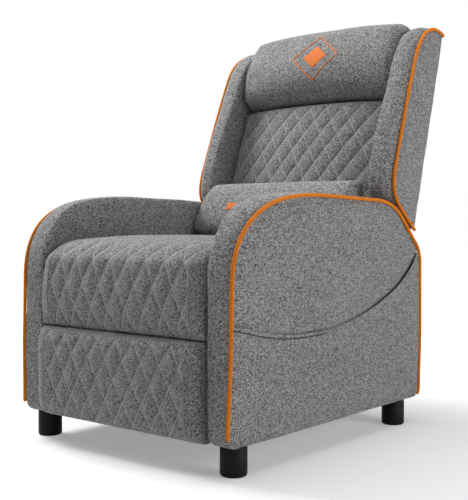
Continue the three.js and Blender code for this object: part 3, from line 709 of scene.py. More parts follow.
def cushion(name, body, finish, half, face, rest, replaces, cell=CELL, edge=0.012, draw_in=0.010,
            droop=0.014, droop_power=3.0, quilt=None, swell=(4.0, 0.007), turn=upright, bow=None, shift=0.0,
            rear_draw=0.0):
    """Wraps a grid round the side view (face, then the flat rest) and closes both ends."""
    run = even(face, cell)
    loop = run + even(rest, cell * 2)[1:-1]
    face_length = length_of(face)
    normals = [outward(loop, k) for k in range(len(loop))]
    bm = bmesh.new()
    bmesh.ops.create_grid(bm, x_segments=round(2 * half / cell), y_segments=len(loop), size=0.5)
    marks = {key: bm.verts.layers.float.new(key) for key in ("along", "across", "hold", "sewn")}
    for vert in bm.verts:
        x = 2 * vert.co.x * half
        k = round((vert.co.y + 0.5) * len(loop)) % len(loop)
        on_face = k < len(run)
        along = k * face_length / (len(run) - 1)
        depth = min((half - abs(x)) / edge, 1.0)
        arch = min(1.0, ARCH * math.sin(math.pi * along / face_length)) if on_face else 0.0
        ease = soft_step(min(along, face_length - along) / EASE) if on_face else 0.0
        sink = draw_in * (1 - math.sqrt(max(1 - (1 - depth) ** 2, 0)))
        sink *= rear_draw + (CORNER_SHARE + (1 - CORNER_SHARE) * arch - rear_draw) * ease
        sink += droop * arch * (abs(x) / half) ** droop_power + SLIP * ease
        hold = 1.0
        if on_face:
            ends = min(along, face_length - along) / (cell * GAP_CELLS)
            hold = 1 - min(ends, depth, 1.0)
        if on_face and quilt:
            hold = max(hold, quilt.sewn_down(x, along))
            vert[marks["sewn"]] = soft_step(quilt.share(x, along) * 2)
        place = loop[k] - normals[k] * sink
        if bow:
            place.y += bow(x, along / face_length if on_face else 1.0)
        vert.co = (x + shift, place.x, place.y)
        vert[marks["along"]] = along if on_face else -1.0
        vert[marks["across"]] = x
        vert[marks["hold"]] = hold
    bmesh.ops.remove_doubles(bm, verts=bm.verts, dist=SAME_PLACE)
    rims = [e for e in bm.edges if e.is_boundary]
    caps = bmesh.ops.holes_fill(bm, edges=rims, sides=0)["faces"]
    for inset in (cell, cell * 2):
        bmesh.ops.inset_region(bm, faces=caps, thickness=inset, depth=0.0)
    for vert in {v for cap in caps for v in cap.verts}:
        vert[marks["hold"]] = 1.0
        vert[marks["along"]] = -1.0
    bmesh.ops.triangulate(bm, faces=caps)
    bmesh.ops.recalc_face_normals(bm, faces=bm.faces)
    if bm.calc_volume(signed=True) < 0:
        bmesh.ops.reverse_faces(bm, faces=bm.faces)
    for vert in bm.verts:
        vert.co = turn(vert.co)
    piece = finished(name, bm, body, finish, replaces)
    inflate(piece, *swell)
    seams = seam_paths(piece)
    sew(piece, quilt)
    return piece, seams


# %% [markdown]
# After swelling, the squares are halved and each quilted line is drawn in between raised
# puffs, with small creases beside it. The lines cross as rising and falling diagonals, so
# both follow from two counts, of diamonds across and along, which are kept as the cover's
# own UV map for the thread.

# %% Seams and quilting
SAME_COLUMN = 1e-4
PUFF_WIDTH = 0.0080
VALLEY_WIDTH = 0.0019
VALLEY_DEPTH = 0.0005
CREASE, CREASE_SIZE = 0.0006, 0.012
UNEVEN_FOAM, FOAM_WAVE = 0.0010, 0.11


def seam_paths(piece):
    """Where the seam beside each end gusset runs now: a function of its distance from the middle."""
    spots = coordinates(piece.data)
    along, across = (measure(piece.data, key) for key in ("along", "across"))
    columns = np.unique(np.round(across, 5))

    def path(x):
        column = columns[np.argmin(abs(columns - x))]
        picked = np.flatnonzero((abs(across - column) < SAME_COLUMN) & (along >= 0))
        return [Vector(spots[k]) for k in picked[np.argsort(along[picked])]]

    return path


def sew(piece, quilt):
    """Draws the quilted lines in, lays small creases beside them and writes the quilt map."""
    divided(piece)
    mesh = piece.data
    alongs, acrosses = (measure(mesh, key) for key in ("along", "across"))
    lift = np.zeros(len(mesh.vertices))
    for k, (spot, x, along) in enumerate(zip(coordinates(mesh), acrosses, alongs)):
        lift[k] = UNEVEN_FOAM * ripple(spot, FOAM_WAVE, 3.7)
        if along < 0 or not quilt:
            continue
        field = quilt.share(x, along) ** 1.6
        if field <= 0:
            continue
        puff, valley = 1.0, 0.0
        nears = quilt.line_distances(x, along)
        for near, pull in zip(nears, (1.0, SOFT_LINE)):
            puff *= 1 - pull * math.exp(-((near / PUFF_WIDTH) ** 1.25))
            valley += pull * math.exp(-((near / VALLEY_WIDTH) ** 2))
        crease = ripple(spot, CREASE_SIZE, 9.1) * math.exp(-min(nears) / PUFF_WIDTH)
        lift[k] += field * (quilt.depth * (puff - 0.8) + CREASE * crease - VALLEY_DEPTH * valley)
    raised(mesh, lift)
    if quilt:
        uv = mesh.uv_layers.new(name="quilt")
        turns = [quilt.turns(float(x), float(s)) for x, s in zip(acrosses, alongs)]
        loops = np.empty(len(mesh.loops), np.int32)
        mesh.loops.foreach_get("vertex_index", loops)
        uv.data.foreach_set("uv", np.array(turns, np.float32)[loops].ravel())
    for key in ("hold", "along", "across"):
        mesh.attributes.remove(mesh.attributes[key])
    mesh.update()
    print(piece.name, len(mesh.polygons), "faces")


# %% [markdown]
# The seat cushion is foam over springs, with a nose that rolls down in front of the
# timber. Its side view follows the crown, falls away towards the back where the lumbar
# pillow stands, and returns flat underneath.

# %% Seat cushion
CLEARANCE = 0.0012
seat_low, seat_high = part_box("seat_cushion")
rail_low, rail_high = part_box("seat_front_rail")
LIP_DROP = 0.0040
OVER_SPRINGS = 0.0046
SEAT_FOAM = 0.157
NOSE = 0.018
seat_lip = seat_low.z - LIP_DROP
seat_base = rail_high.z + OVER_SPRINGS
seat_crown = seat_base + SEAT_FOAM
seat_depth = seat_high.y - FRONT
seat_half = seat_high.x
top = shares([(1, 0.5), (0.981, 0.73), (0.8, 0.905), (0.6, 0.975), (0.38, 1), (0.2, 0.99), (0.082, 0.94)],
             (0, seat_base), seat_depth, seat_crown - seat_base)
nose = shares([(0.1, 0.80), (0.75, 0.61), (1, 0.42), (0.9, 0.24), (0.45, 0.09), (-0.3, 0.0)],
              (0, seat_lip), -NOSE, seat_crown - seat_lip)
rail_rear = rail_high.y - FRONT + CLEARANCE
wrap = rail_low.z - CLEARANCE
seat_rest = [nose[-1], Vector((0.012, wrap + 0.003)), Vector((0.022, wrap)), Vector((rail_rear, wrap)),
             Vector((rail_rear, seat_base)), Vector((seat_depth, seat_base)), top[0]]
seat_face = smooth_path(top + nose)
seat_length = length_of(seat_face)
GUSSET = 0.034
seat_quilt = Quilt(seat_half - GUSSET, start=0.44, stop=seat_length + 0.002, height=0.116,
                   crossing=(0.008, seat_length), top_fade=0.34, depth=0.0056)
seat, seat_seam = cushion("seat_cushion_cover", "seat", quilt_cloth, seat_half, seat_face,
                          seat_rest, ["seat_cushion"], quilt=seat_quilt, edge=GUSSET, draw_in=0.020,
                          droop=0.005, swell=(4.0, 0.004))

# %% [markdown]
# The footrest hangs below the nose like a second, thinner cushion. Its cover goes round
# the edges of the board and is stapled behind, so the bare board shows only at the back.

# %% Footrest cushion
low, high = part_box("footrest_pad")
low.z -= HEM_DROP
board_low, board_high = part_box("footrest_board")
board_front = board_low.y - FRONT
board_rear = board_high.y - FRONT - CLEARANCE
pad_depth = board_front - (low.y - FRONT)
pad_shares = [(0, 1), (0.3, 1.0), (0.72, 0.965), (0.96, 0.83), (1, 0.5), (0.96, 0.17), (0.72, 0.035),
              (0.3, 0.0), (0, 0)]
pad_face = smooth_path(shares(pad_shares, (board_front, low.z), -pad_depth, high.z - low.z))
pad_rest = [pad_face[-1], Vector((board_rear, low.z)), Vector((board_rear, high.z)), pad_face[0]]
pad_quilt = Quilt(seat_half - GUSSET, start=0.028, stop=0.258, height=0.094, crossing=(0.042, 0.083),
                  fade=0.016, top_fade=0.02, depth=0.0050)
footrest, footrest_seam = cushion("footrest_cover", "footrest", quilt_cloth, seat_half,
                                  pad_face, pad_rest, ["footrest_pad"], quilt=pad_quilt, edge=GUSSET,
                                  draw_in=0.018, droop=0.002)

# %% [markdown]
# The back cushion, the headrest and the lumbar pillow belong to the leaning back. They
# are drawn upright there and tilted at the end. The headrest rolls over the top rail,
# and the pillow is loose, so its corners are slack and its ends draw in further.

# %% Back cushion, headrest and lumbar pillow
COVER_HALF = INNER - 0.0003
REAR = -0.017
BACK_FOAM = 0.075
BACK_FOOT, BACK_TOP = 0.094, 0.4667
NEVER = 2.0
back_shares = [(0, 1.03), (0.35, 1.035), (0.62, 1.02), (0.80, 0.92), (0.93, 0.72), (0.985, 0.498), (1, 0.27),
               (0.84, 0.11), (0.467, 0.011), (0, 0)]
back_face = smooth_path(shares(back_shares, (REAR, BACK_FOOT), -BACK_FOAM, BACK_TOP - BACK_FOOT))
BACK_SEAM = COVER_HALF - 0.006
back_quilt = Quilt(BACK_SEAM, start=0.045, stop=NEVER, height=0.086, crossing=(0.103, 0.149), depth=0.0036)
back, back_seam = cushion("back_cushion_cover", "back", quilt_cloth, COVER_HALF, back_face,
                          [back_face[-1], back_face[0]], ["back_cushion"], quilt=back_quilt, edge=0.014,
                          draw_in=0.010, droop=0.03, droop_power=2.5, turn=leaning)

HEAD_SEAM = COVER_HALF - 0.024
BOARD, BOARD_REAR, BOARD_TOP = -0.0165, 0.010, 0.6723
HEAD_FOOT = 0.472
head_rest = [Vector(p) for p in ((BOARD, HEAD_FOOT), (BOARD, 0.6), (BOARD, BOARD_TOP),
                                 (BOARD_REAR, BOARD_TOP))]
head_face = smooth_path([(BOARD_REAR, BOARD_TOP), (0.0095, 0.688), (-0.002, 0.700), (-0.040, 0.709),
                         (-0.084, 0.682), (-0.110, 0.608), (-0.114, 0.560), (-0.106, 0.510), (-0.085, 0.481),
                         (-0.045, 0.474), (BOARD, HEAD_FOOT)])
HEAD_BOW = 0.012


def raised_middle(x, share):
    """The lower edge of the headrest is pulled up in the middle."""
    return HEAD_BOW * soft_step((share - 0.4) / 0.4) * (1 - (abs(x) / COVER_HALF) ** 2.2)


head, head_seam = cushion("headrest_cover", "back", plain_cloth, COVER_HALF, head_face,
                          head_rest, ["headrest"], cell=0.006, edge=0.036, draw_in=0.028, droop=0.013,
                          swell=(2.0, 0.007), turn=leaning, bow=raised_middle)

PILLOW_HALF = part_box("lumbar_pillow")[1].x + 0.003
PILLOW_BOX = (-0.089, 0.060), -0.110, 0.167
face_shares = [(0.14, 0.98), (0.318, 1), (0.58, 0.93), (0.85, 0.66), (1, 0.28), (0.965, 0.03), (0.70, -0.03),
               (0.3, 0.0)]
rear_shares = [(0.3, 0.0), (0.136, 0.084), (0, 0.359), (0, 0.641), (0.082, 0.904), (0.14, 0.98)]
pillow = cushion("lumbar_pillow_cover", "back", plain_cloth, PILLOW_HALF,
                 smooth_path(shares(face_shares, *PILLOW_BOX)), shares(rear_shares, *PILLOW_BOX),
                 ["lumbar_pillow"], cell=0.0055, edge=0.022, draw_in=0.018, droop=0.004,
                 swell=(2.0, 0.007), turn=leaning, shift=-0.014, rear_draw=0.4)[0]

# %% [markdown]
# Two plain marks are embroidered in orange: a rhombus in a rhombus on the headrest and a
# bar on the pillow. Each is a grid bent into the mark's shape in the plane of the back,
# then thrown backwards onto the cushion by a ray for every point, so it lies on the cover
# wherever that swells. A satin stitch stands about a millimetre proud.

# %% Embroidery
NAP = 0.0011
WELL_IN_FRONT = -0.5


def embroidered(name, cover, columns, rows, spot):
    """`spot` gives place across, height and the share of the nap for u and v from -1 to 1."""
    bm = bmesh.new()
    bmesh.ops.create_grid(bm, x_segments=columns, y_segments=rows, size=1.0)
    back_way = (leaning((0, 1, 0)) - leaning((0, 0, 0))).normalized()
    ground = bmesh.new()
    ground.from_mesh(cover.data)
    skin = BVHTree.FromBMesh(ground)
    ground.free()
    for vert in bm.verts:
        x, z, rise = spot(vert.co.x, vert.co.y)
        place, normal = skin.ray_cast(leaning((x, WELL_IN_FRONT, z)), back_way)[:2]
        vert.co = place + normal * NAP * rise
    bmesh.ops.remove_doubles(bm, verts=bm.verts, dist=SAME_PLACE)
    facing(bm, -back_way)
    thickened(finished(name, bm, "back", orange_thread), NAP)
    print(name, "lies on", cover.name)


def edge_rise(v):
    """Satin stitch is full in the middle and flat at its edges."""
    return 0.15 + 0.85 * math.sqrt(max(0.0, 1 - v ** 4))


# %% Marks on the headrest and the pillow
RHOMBUS = Vector((0.008, 0.597))
RHOMBUS_HALF = Vector((0.076, 0.068))
BORDER = 0.0036
SLANT = 1.414
SOLID_SHARE = 0.26


def rhombus_border(u, v):
    turns = (u + 1) * 2
    side = min(int(turns), 3)
    corners = [(0, 1), (1, 0), (0, -1), (-1, 0)]
    here, there = Vector(corners[side]), Vector(corners[(side + 1) % 4])
    way = here.lerp(there, turns - side)
    grow = 1 + v * BORDER / 2 * SLANT / RHOMBUS_HALF.x
    place = RHOMBUS + way * RHOMBUS_HALF * grow
    return place.x, place.y, edge_rise(v)


def solid_rhombus(u, v):
    place = RHOMBUS + Vector((u + v, u - v)) * RHOMBUS_HALF * SOLID_SHARE
    return place.x, place.y, edge_rise(max(abs(u), abs(v)))


BAR = Vector((0.290, 0.021))
BAR_HEIGHT = 0.1365


def bar(u, v):
    return u * BAR.x / 2, BAR_HEIGHT + v * BAR.y / 2, edge_rise(max(abs(v), abs(u) ** 12))


embroidered("headrest_rhombus_border", head, 160, 4, rhombus_border)
embroidered("headrest_rhombus", head, 40, 40, solid_rhombus)
embroidered("pillow_bar", pillow, 120, 10, bar)

# %% [markdown]
# Each cushion's end is a separate strip, the gusset, sewn to the main panel. The seam
# shows as a thin raised line of thread where the two meet.

# %% Gusset seams
GUSSET_THREAD = 0.0009
SIDES = (("right", 1), ("left", -1))
for name, body, seam, reach in (("seat", "seat", seat_seam, seat_half - GUSSET),
                                ("footrest", "footrest", footrest_seam, seat_half - GUSSET),
                                ("headrest", "back", head_seam, HEAD_SEAM),
                                ("back", "back", back_seam, BACK_SEAM)):
    for side, sign in SIDES:
        swept(f"{name}_seam_{side}", seam(sign * reach), GUSSET_THREAD, body, grey_thread)
    print("seams of", name)

# %% [markdown]
# Arms and wings are padded boards. Their outline is cut out, given its thickness, rounded
# on the inner edge and then remeshed into even squares, because the cloth solver needs
# them. A grid could not follow such an outline without long, thin faces at its corners.
# The padding stands proud between the seams, so a crown is added to the border, and the
# outer seam is held while the cloth swells.


# %% Padded boards
CORD = 0.0043
PANEL = OUTER - 0.0038
INNER_ROUND = 0.003
CROWN_REACH = 0.06
EDGE_SINK = 0.0028
SINK_REACH = 0.03
SEAM_GRIP = 0.007
FOOT_GRIP = 0.02
GENTLE = (0.5, 0.003)


def padded_board(name, outline, voxel, crown, foot=None):
    """A board cut to the outline between the inner plane and its outer face, softened."""
    bm = bmesh.new()
    base = [bm.verts.new((INNER, p.x, p.y)) for p in outline]
    rims = bmesh.ops.extrude_face_region(bm, geom=[bm.faces.new(base)])["geom"]
    for vert in (g for g in rims if isinstance(g, bmesh.types.BMVert)):
        vert.co.x = PANEL
    bmesh.ops.recalc_face_normals(bm, faces=bm.faces)
    inner_rim = [e for e in bm.edges if all(abs(v.co.x - INNER) < SAME_PLACE for v in e.verts)
                 and not (foot and all(v.co.z < foot + 10 * SAME_PLACE for v in e.verts))]
    bmesh.ops.bevel(bm, geom=inner_rim, offset=INNER_ROUND, segments=5, profile=0.5, affect="EDGES",
                    material=-1, clamp_overlap=True)
    piece = raw(name, bm)
    remesh = piece.modifiers.new("even squares", "REMESH")
    remesh.mode = "VOXEL"
    remesh.voxel_size = voxel
    applied(piece)
    tree = KDTree(len(outline))
    for k, point in enumerate(outline):
        tree.insert((0, point.x, point.y), k)
    tree.balance()
    spots = coordinates(piece.data)
    hold = np.zeros(len(spots), np.float32)
    for n, (x, y, z) in enumerate(spots):
        k, gap = tree.find((0, y, z))[1:]
        way = outward(outline, k)
        reach = crown(x, z, way) * max(0.0, 1 - gap / CROWN_REACH)
        sink = EDGE_SINK * math.exp(-gap / SINK_REACH) * soft_step((x - PANEL + 0.006) / 0.004)
        spots[n] = (x - sink, y + way.x * reach, z + way.y * reach)
        hold[n] = math.exp(-((gap / SEAM_GRIP) ** 2)) * soft_step((x - PANEL + 0.012) / 0.006)
        if foot:
            hold[n] = max(hold[n], 1 - (z - foot) / FOOT_GRIP)
    hold = np.clip(np.maximum(hold, 0.8 * (spots[:, 0] < INNER + INNER_ROUND)), 0, 1)
    placed(piece.data, spots)
    piece.data.attributes.new("hold", "FLOAT", "POINT").data.foreach_set("value", hold)
    inflate(piece, *GENTLE)
    piece.data.attributes.remove(piece.data.attributes["hold"])
    divided(piece)
    print(name, len(piece.data.polygons), "faces")
    return piece


def mirrored(piece, name, body, finish, replaces):
    """The same piece on the other side of the chair."""
    bm = bmesh.new()
    bm.from_mesh(piece.data)
    bmesh.ops.scale(bm, vec=(-1, 1, 1), verts=bm.verts)
    bmesh.ops.reverse_faces(bm, faces=bm.faces)
    return finished(name, bm, body, finish, replaces)


def uneven(piece, amount, size, seed):
    """Slow dents over the padding."""
    raised(piece.data, np.array([amount * ripple(spot, size, seed) for spot in coordinates(piece.data)]))


def border(x):
    """0 at the outer seam, 1 over the inner half of the border."""
    return math.sin(0.5 * math.pi * soft_step((PANEL - x) / (0.55 * (PANEL - INNER))))


# %% [markdown]
# An arm's template runs up behind, over the roll and down in front to the toe. The border
# stands proud between its seams, most at the roll, and the outer panel leans out a
# little. The other arm is this one mirrored, as a workshop cuts both from one template.

# %% Arms
FRONT_CROWN = 0.0025
CREST_CROWN = 0.0055
ROLL_CROWN = 0.0075
TOE_TUCK = 0.013
ROLL_HEIGHT = 0.44
FRONT_CORNER = 0.034
REAR_CORNER = 0.030
TOE = 0.0035
LOW_FLARE, HIGH_FLARE = 0.0048, 0.0042


def arm_template():
    def at(y, z):
        return (y * ARM_DEPTH, z * ARM_HEIGHT)

    return trace((ARM_DEPTH - REAR_CORNER, HEM), [(ARM_DEPTH, HEM), (ARM_DEPTH, HEM + REAR_CORNER)],
                 [at(0.993, 0.719)], [at(0.988, 0.775), at(0.958, 0.805)], [at(0.846, 0.933)],
                 [at(0.797, 0.978), at(0.72, 0.987)], [at(0.40, 1)],
                 [at(0.248, 1), at(0.0114, 0.989), at(0.0058, 0.68)], [(-TOE, HEM + FRONT_CORNER)],
                 [(-TOE, HEM), (FRONT_CORNER - TOE, HEM)])


def arm_crown(x, z, way):
    """The border stands proud, and below the roll its inner edge is tucked back."""
    tuck = TOE_TUCK * max(0.0, -way.x) * max(0.0, 1 - z / ROLL_HEIGHT) * (PANEL - x) / (PANEL - INNER)
    up = max(0.0, way.y)
    roll = ROLL_CROWN * math.sin(math.pi * up ** 6) if way.x < 0 else 0.0
    crown = FRONT_CROWN + (CREST_CROWN - FRONT_CROWN) * up + roll
    return crown * soft_step((way.y + 0.7) / 0.6) * border(x) - tuck


def flare(z):
    """The outer panel leans outward a little from hem to roll."""
    return LOW_FLARE * soft_step((z - 0.08) / 0.17) + HIGH_FLARE * soft_step((z - 0.44) / 0.12)


arm_outline = [Vector((FRONT + p.x, p.y)) for p in even(arm_template(), 0.010)]
arm = padded_board("arm_cover_right", arm_outline, 0.007, arm_crown, HEM)
placed(arm.data, [(x + flare(z) * soft_step((x - INNER) / (PANEL - INNER)), y, z)
                  for x, y, z in coordinates(arm.data)])
uneven(arm, 0.0008, 0.13, 5.2)
register(arm, "base", plain_cloth, ["arm_right"])
left_arm = mirrored(arm, "arm_cover_left", "base", plain_cloth, ["arm_left"])


# %% [markdown]
# A wing is cut the same way, but its front is domed where it holds the shoulders. It is
# drawn upright in the frame of the back and tilted at the end. The padding in the top of
# the left wing has settled, so that one is lowered a little after it is mirrored.

# %% Wings
WING_DOME = 0.024
SHOULDER = 0.010
SHOULDER_REACH = 0.030
WING_CORNER = 0.011
SETTLED = 0.009
WING_TIP = Vector((0.0205, 0.133))


def wing_edge():
    """The sewn edge of a wing, from its top corner behind to its tip below."""
    return trace((0.0462, 0.655), [(0.0466, 0.676)], [(0.0469, 0.6885), (0.034, 0.6888)],
                 [(-0.024, 0.689), (-0.068, 0.66), (-0.086, 0.58)],
                 [(-0.0975, 0.52), (-0.112, 0.36), (-0.1195, 0.26)],
                 [(-0.1215, 0.19), (-0.102, 0.176), (-0.05, 0.1545)], [(0.014, 0.1275)])


def wing_crown(x, z, way):
    """The front of a wing is domed, most at the height of the sitter's shoulders."""
    fall = 1 - soft_step((z - 0.34) / 0.17)
    low = soft_step((z - 0.145) / 0.06) * (1 - 0.8 * soft_step((z - 0.54) / 0.07))
    dome = (0.42 + 0.58 * fall) * low * WING_DOME
    shoulder = 0.003 * border(x) - SHOULDER * soft_step((INNER + SHOULDER_REACH - x) / SHOULDER_REACH)
    corner = WING_CORNER * math.sin(math.pi * max(0.0, way.y)) if way.x < 0 else 0.0
    return border(x) * (dome * max(0.0, -way.x) + corner) + shoulder * max(0.0, way.y)


def settled(point):
    """The padding at the top of the left wing has sunk a little."""
    return Vector((point[0], point[1], point[2] - SETTLED * soft_step((point[2] - 0.97) / 0.075)))


wing_outline = even(wing_edge() + [WING_TIP], 0.008, closed=True)
wing = padded_board("wing_cover_right", wing_outline, 0.006, wing_crown)
placed(wing.data, [leaning(vert.co) for vert in wing.data.vertices])
uneven(wing, 0.0007, 0.1, 1.7)
register(wing, "back", plain_cloth, ["wing_right"])
left_wing = mirrored(wing, "wing_cover_left", "back", plain_cloth, ["wing_left"])
placed(left_wing.data, [settled(vert.co) for vert in left_wing.data.vertices])

# %% [markdown]
# Piping covers the seam between the outer panel and the border. It is a cord in a strip
# of cloth, about eight and a half millimetres thick. It turns in at the bottom corners of
# the arm and stops there with a round end.


# %% Piping
SEAM_IN = 0.001
WELT_END = 0.024
REAR_WELT_END = 0.009
WELT_CORNER = 0.044


def welt(outline, turn):
    """Where the cord runs: a little inside the sewn edge."""
    return [turn(*(outline[k] - outward(outline, k, False) * SEAM_IN)) for k in range(len(outline))]


def on_arm(y, z):
    return Vector((OUTER - CORD + flare(z), FRONT + y, z))


def on_wing(y, z):
    return leaning((OUTER - CORD, y, z))


def shows(p):
    """The arm's cord turns in above the hem, lower down behind than in front."""
    return p.z > HEM + (WELT_END if p.y < 0 else REAR_WELT_END)


arm_welt = [p for p in welt(even(arm_template(), 0.004), on_arm) if shows(p)]
wing_welt = welt([p for p in even(wing_edge(), 0.004) if p.x < WELT_CORNER], on_wing)
for side, sign in SIDES:
    flip = Matrix.Diagonal((sign, 1, 1, 1))
    swept(f"arm_welt_{side}", [flip @ p for p in arm_welt], CORD, "base", piping_cloth,
          [f"arm_piping_{side}"])
    sunk = wing_welt if side == "right" else [settled(p) for p in wing_welt]
    swept(f"wing_welt_{side}", [flip @ p for p in sunk], CORD, "back", piping_cloth,
          [f"wing_piping_{side}"])
print("piping", [round(length_of(path), 2) for path in (arm_welt, wing_welt)], "m on an arm and a wing")

# %% [markdown]
# The legs are moulded cups with a rounded lower edge. One profile is spun round its axis
# and copied to the four corners.


# %% Legs
LEG_EDGE = 0.006
SOLE_RIM = 0.004
NECK = 0.011
NECK_STEP = 0.0008


def leg(name, node):
    low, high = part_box(node)
    centre = (low + high) / 2
    radius, height = (high.x - low.x) / 2, high.z
    profile = [(0, 0.0), (radius - LEG_EDGE - SOLE_RIM, 0.0)]
    profile += [(radius - LEG_EDGE * (1 - math.sin(t)), LEG_EDGE * (1 - math.cos(t)))
                for t in (k * math.pi / 12 for k in range(7))]
    profile += [(radius, height - NECK - 0.001), (radius - NECK_STEP, height - NECK),
                (radius - NECK_STEP, height), (0, height)]
    bm = bmesh.new()
    line = [bm.verts.new((centre.x + r, centre.y, z)) for r, z in profile]
    edges = [bm.edges.new(pair) for pair in zip(line, line[1:])]
    bmesh.ops.spin(bm, geom=line + edges, cent=(centre.x, centre.y, 0), axis=(0, 0, 1), angle=2 * math.pi,
                   steps=64, use_merge=True)
    bmesh.ops.remove_doubles(bm, verts=bm.verts, dist=SAME_PLACE)
    bmesh.ops.recalc_face_normals(bm, faces=bm.faces)
    return finished(name, bm, "base", plastic, [node])


for node in ("leg_front_right", "leg_front_left", "leg_rear_right", "leg_rear_left"):
    moulding = leg(node + "_moulding", node)
    print(moulding.name, len(moulding.data.polygons), "faces")

# %% [markdown]
# The pocket is a second layer of cloth sewn to the outer face of one arm. In front it is
# stitched flat with a narrow hem, and behind that it hangs a little open, so its edge
# casts a thin, dark line. A sheet is cut to the arm's outline below the mouth line, and
# the arm's own panel dips under it.

# %% Where the pocket lies
mouth_shares = [(0.01, 0.540), (0.13, 0.504), (0.27, 0.479), (0.48, 0.483), (0.65, 0.525), (0.81, 0.598),
                (0.91, 0.675), (0.985, 0.757)]
mouth_line = smooth_path([(y * ARM_DEPTH, z * ARM_HEIGHT) for y, z in mouth_shares])
template = arm_template()
POCKET_X = OUTER - 0.0012
CLOTH = 0.0018
UNDER_CLOTH = 0.0008
OPEN_FROM = 0.50
OPEN_TO = 0.985
DIP = 0.007
SEWN_DIP = 0.0055
LIP = 0.028
SEWN_LIP = 0.005


def outline_reach(height):
    """Front and rear depth of the arm's outline at a height."""
    depths = []
    for here, there in zip(template, template[1:]):
        if (here.y - height) * (there.y - height) <= 0 and here.y != there.y:
            depths.append(here.x + (there.x - here.x) * (height - here.y) / (there.y - here.y))
    return min(depths), max(depths)


def mouth_height(depth):
    return float(np.interp(depth, [p.x for p in mouth_line], [p.y for p in mouth_line]))


def opened(share, rear_fade):
    """How open the mouth is at a share of the arm's depth."""
    return soft_step((share - OPEN_FROM) / 0.3) * soft_step((OPEN_TO - share) / rear_fade)


spots = coordinates(arm.data)
for n, (x, y, z) in enumerate(spots):
    depth = y - FRONT
    above = z - mouth_height(depth)
    if x - flare(z) > PANEL - 0.012:
        opening = opened(depth / ARM_DEPTH, 0.06)
        lip = math.exp(-max(above, 0.0) / LIP)
        sewn = math.exp(-((max(above, 0.0) / SEWN_LIP) ** 2))
        spots[n][0] -= opening * lip * DIP + (1 - opening) * sewn * SEWN_DIP
        if above < 0:
            spots[n][0] = min(x, POCKET_X + flare(z) - CLOTH - UNDER_CLOTH) - opening * DIP
placed(arm.data, spots)

# %% [markdown]
# The cloth itself is a fine grid from the hem to the mouth line. Its stitch line presses
# in only along the sewn part, and the free edge stands off by the slack of the cloth.

# %% Side pocket
HEM_STITCH = 0.0090
GROOVE, GROOVE_WIDTH = 0.0034, 0.0018
POCKET_FOOT = HEM + 0.004
POCKET_MARGIN = 0.003
TUCK = 0.0022
SLACK = 0.0020
SLACK_REACH = 0.05
SHOULDER_SHARE = 0.74
SEWN_SHARE = 0.44
bm = bmesh.new()
bmesh.ops.create_grid(bm, x_segments=170, y_segments=90, size=0.5)
for vert in bm.verts:
    u, v = vert.co.x + 0.5, vert.co.y + 0.5
    rise = 1 - (1 - v) ** 1.6
    height = POCKET_FOOT + (mouth_height(ARM_DEPTH * u) - POCKET_FOOT) * rise
    near, far = outline_reach(min(height, ARM_HEIGHT * SHOULDER_SHARE))
    depth = near + POCKET_MARGIN + (far - near - 2 * POCKET_MARGIN) * u
    opening = opened(u, 0.04)
    below = mouth_height(depth) - height
    groove = GROOVE * math.exp(-(((below - HEM_STITCH) / GROOVE_WIDTH) ** 2)) * (1 - opening)
    edge = min((depth - near) / 0.9, far - depth, height - HEM)
    tuck = TUCK * (1 - soft_step(min(u, 1 - u) / 0.014)) + EDGE_SINK * math.exp(-edge / SINK_REACH)
    pad = 0.0008 * ripple((0, depth, height), 0.14, 6.6)
    stand = flare(height) + SLACK * opening * math.exp(-below / SLACK_REACH) - groove - tuck + pad
    vert.co = (POCKET_X + stand, FRONT + depth, height)
facing(bm, Vector((1, 0, 0)))
pocket = finished("side_pocket_cloth", bm, "base", plain_cloth, ["side_pocket"])
thickened(pocket, CLOTH)
sewn_part = [p for p in even(mouth_line, 0.004) if 0.004 < p.x < SEWN_SHARE * ARM_DEPTH]
# Both stitch lines are swept in near-black thread. Their darkness is painted shade of the hem groove and of the
# gap under the pocket's edge, laid over real stitches.
for name, below, sunk, radius in (("pocket_hem_stitch_painted_shade", HEM_STITCH, 0.0012, 0.0008),
                                  ("pocket_edge_stitch_painted_shade", -0.0003, 0.0009, 0.0006)):
    stitch = [Vector((POCKET_X + flare(p.y) - sunk, FRONT + p.x, p.y - below)) for p in sewn_part]
    swept(name, stitch, radius, "base", shade_dark_thread)
print("pocket", len(pocket.data.polygons), "faces")

# %% [markdown]
# Behind the chair, a covered panel closes the back and a short skirt closes the base.
# Both are cloth pulled tight over thin foam, so their edges are soft and their faces
# nearly flat.


# %% Rear panel and skirt
PANEL_EDGE = 0.004
PANEL_CROWN = 0.003
SEAM_GROOVE, SEAM_GROOVE_WIDTH = 0.0022, 0.004
PANEL_SEAM = 0.09
PANEL_CUTS = 60


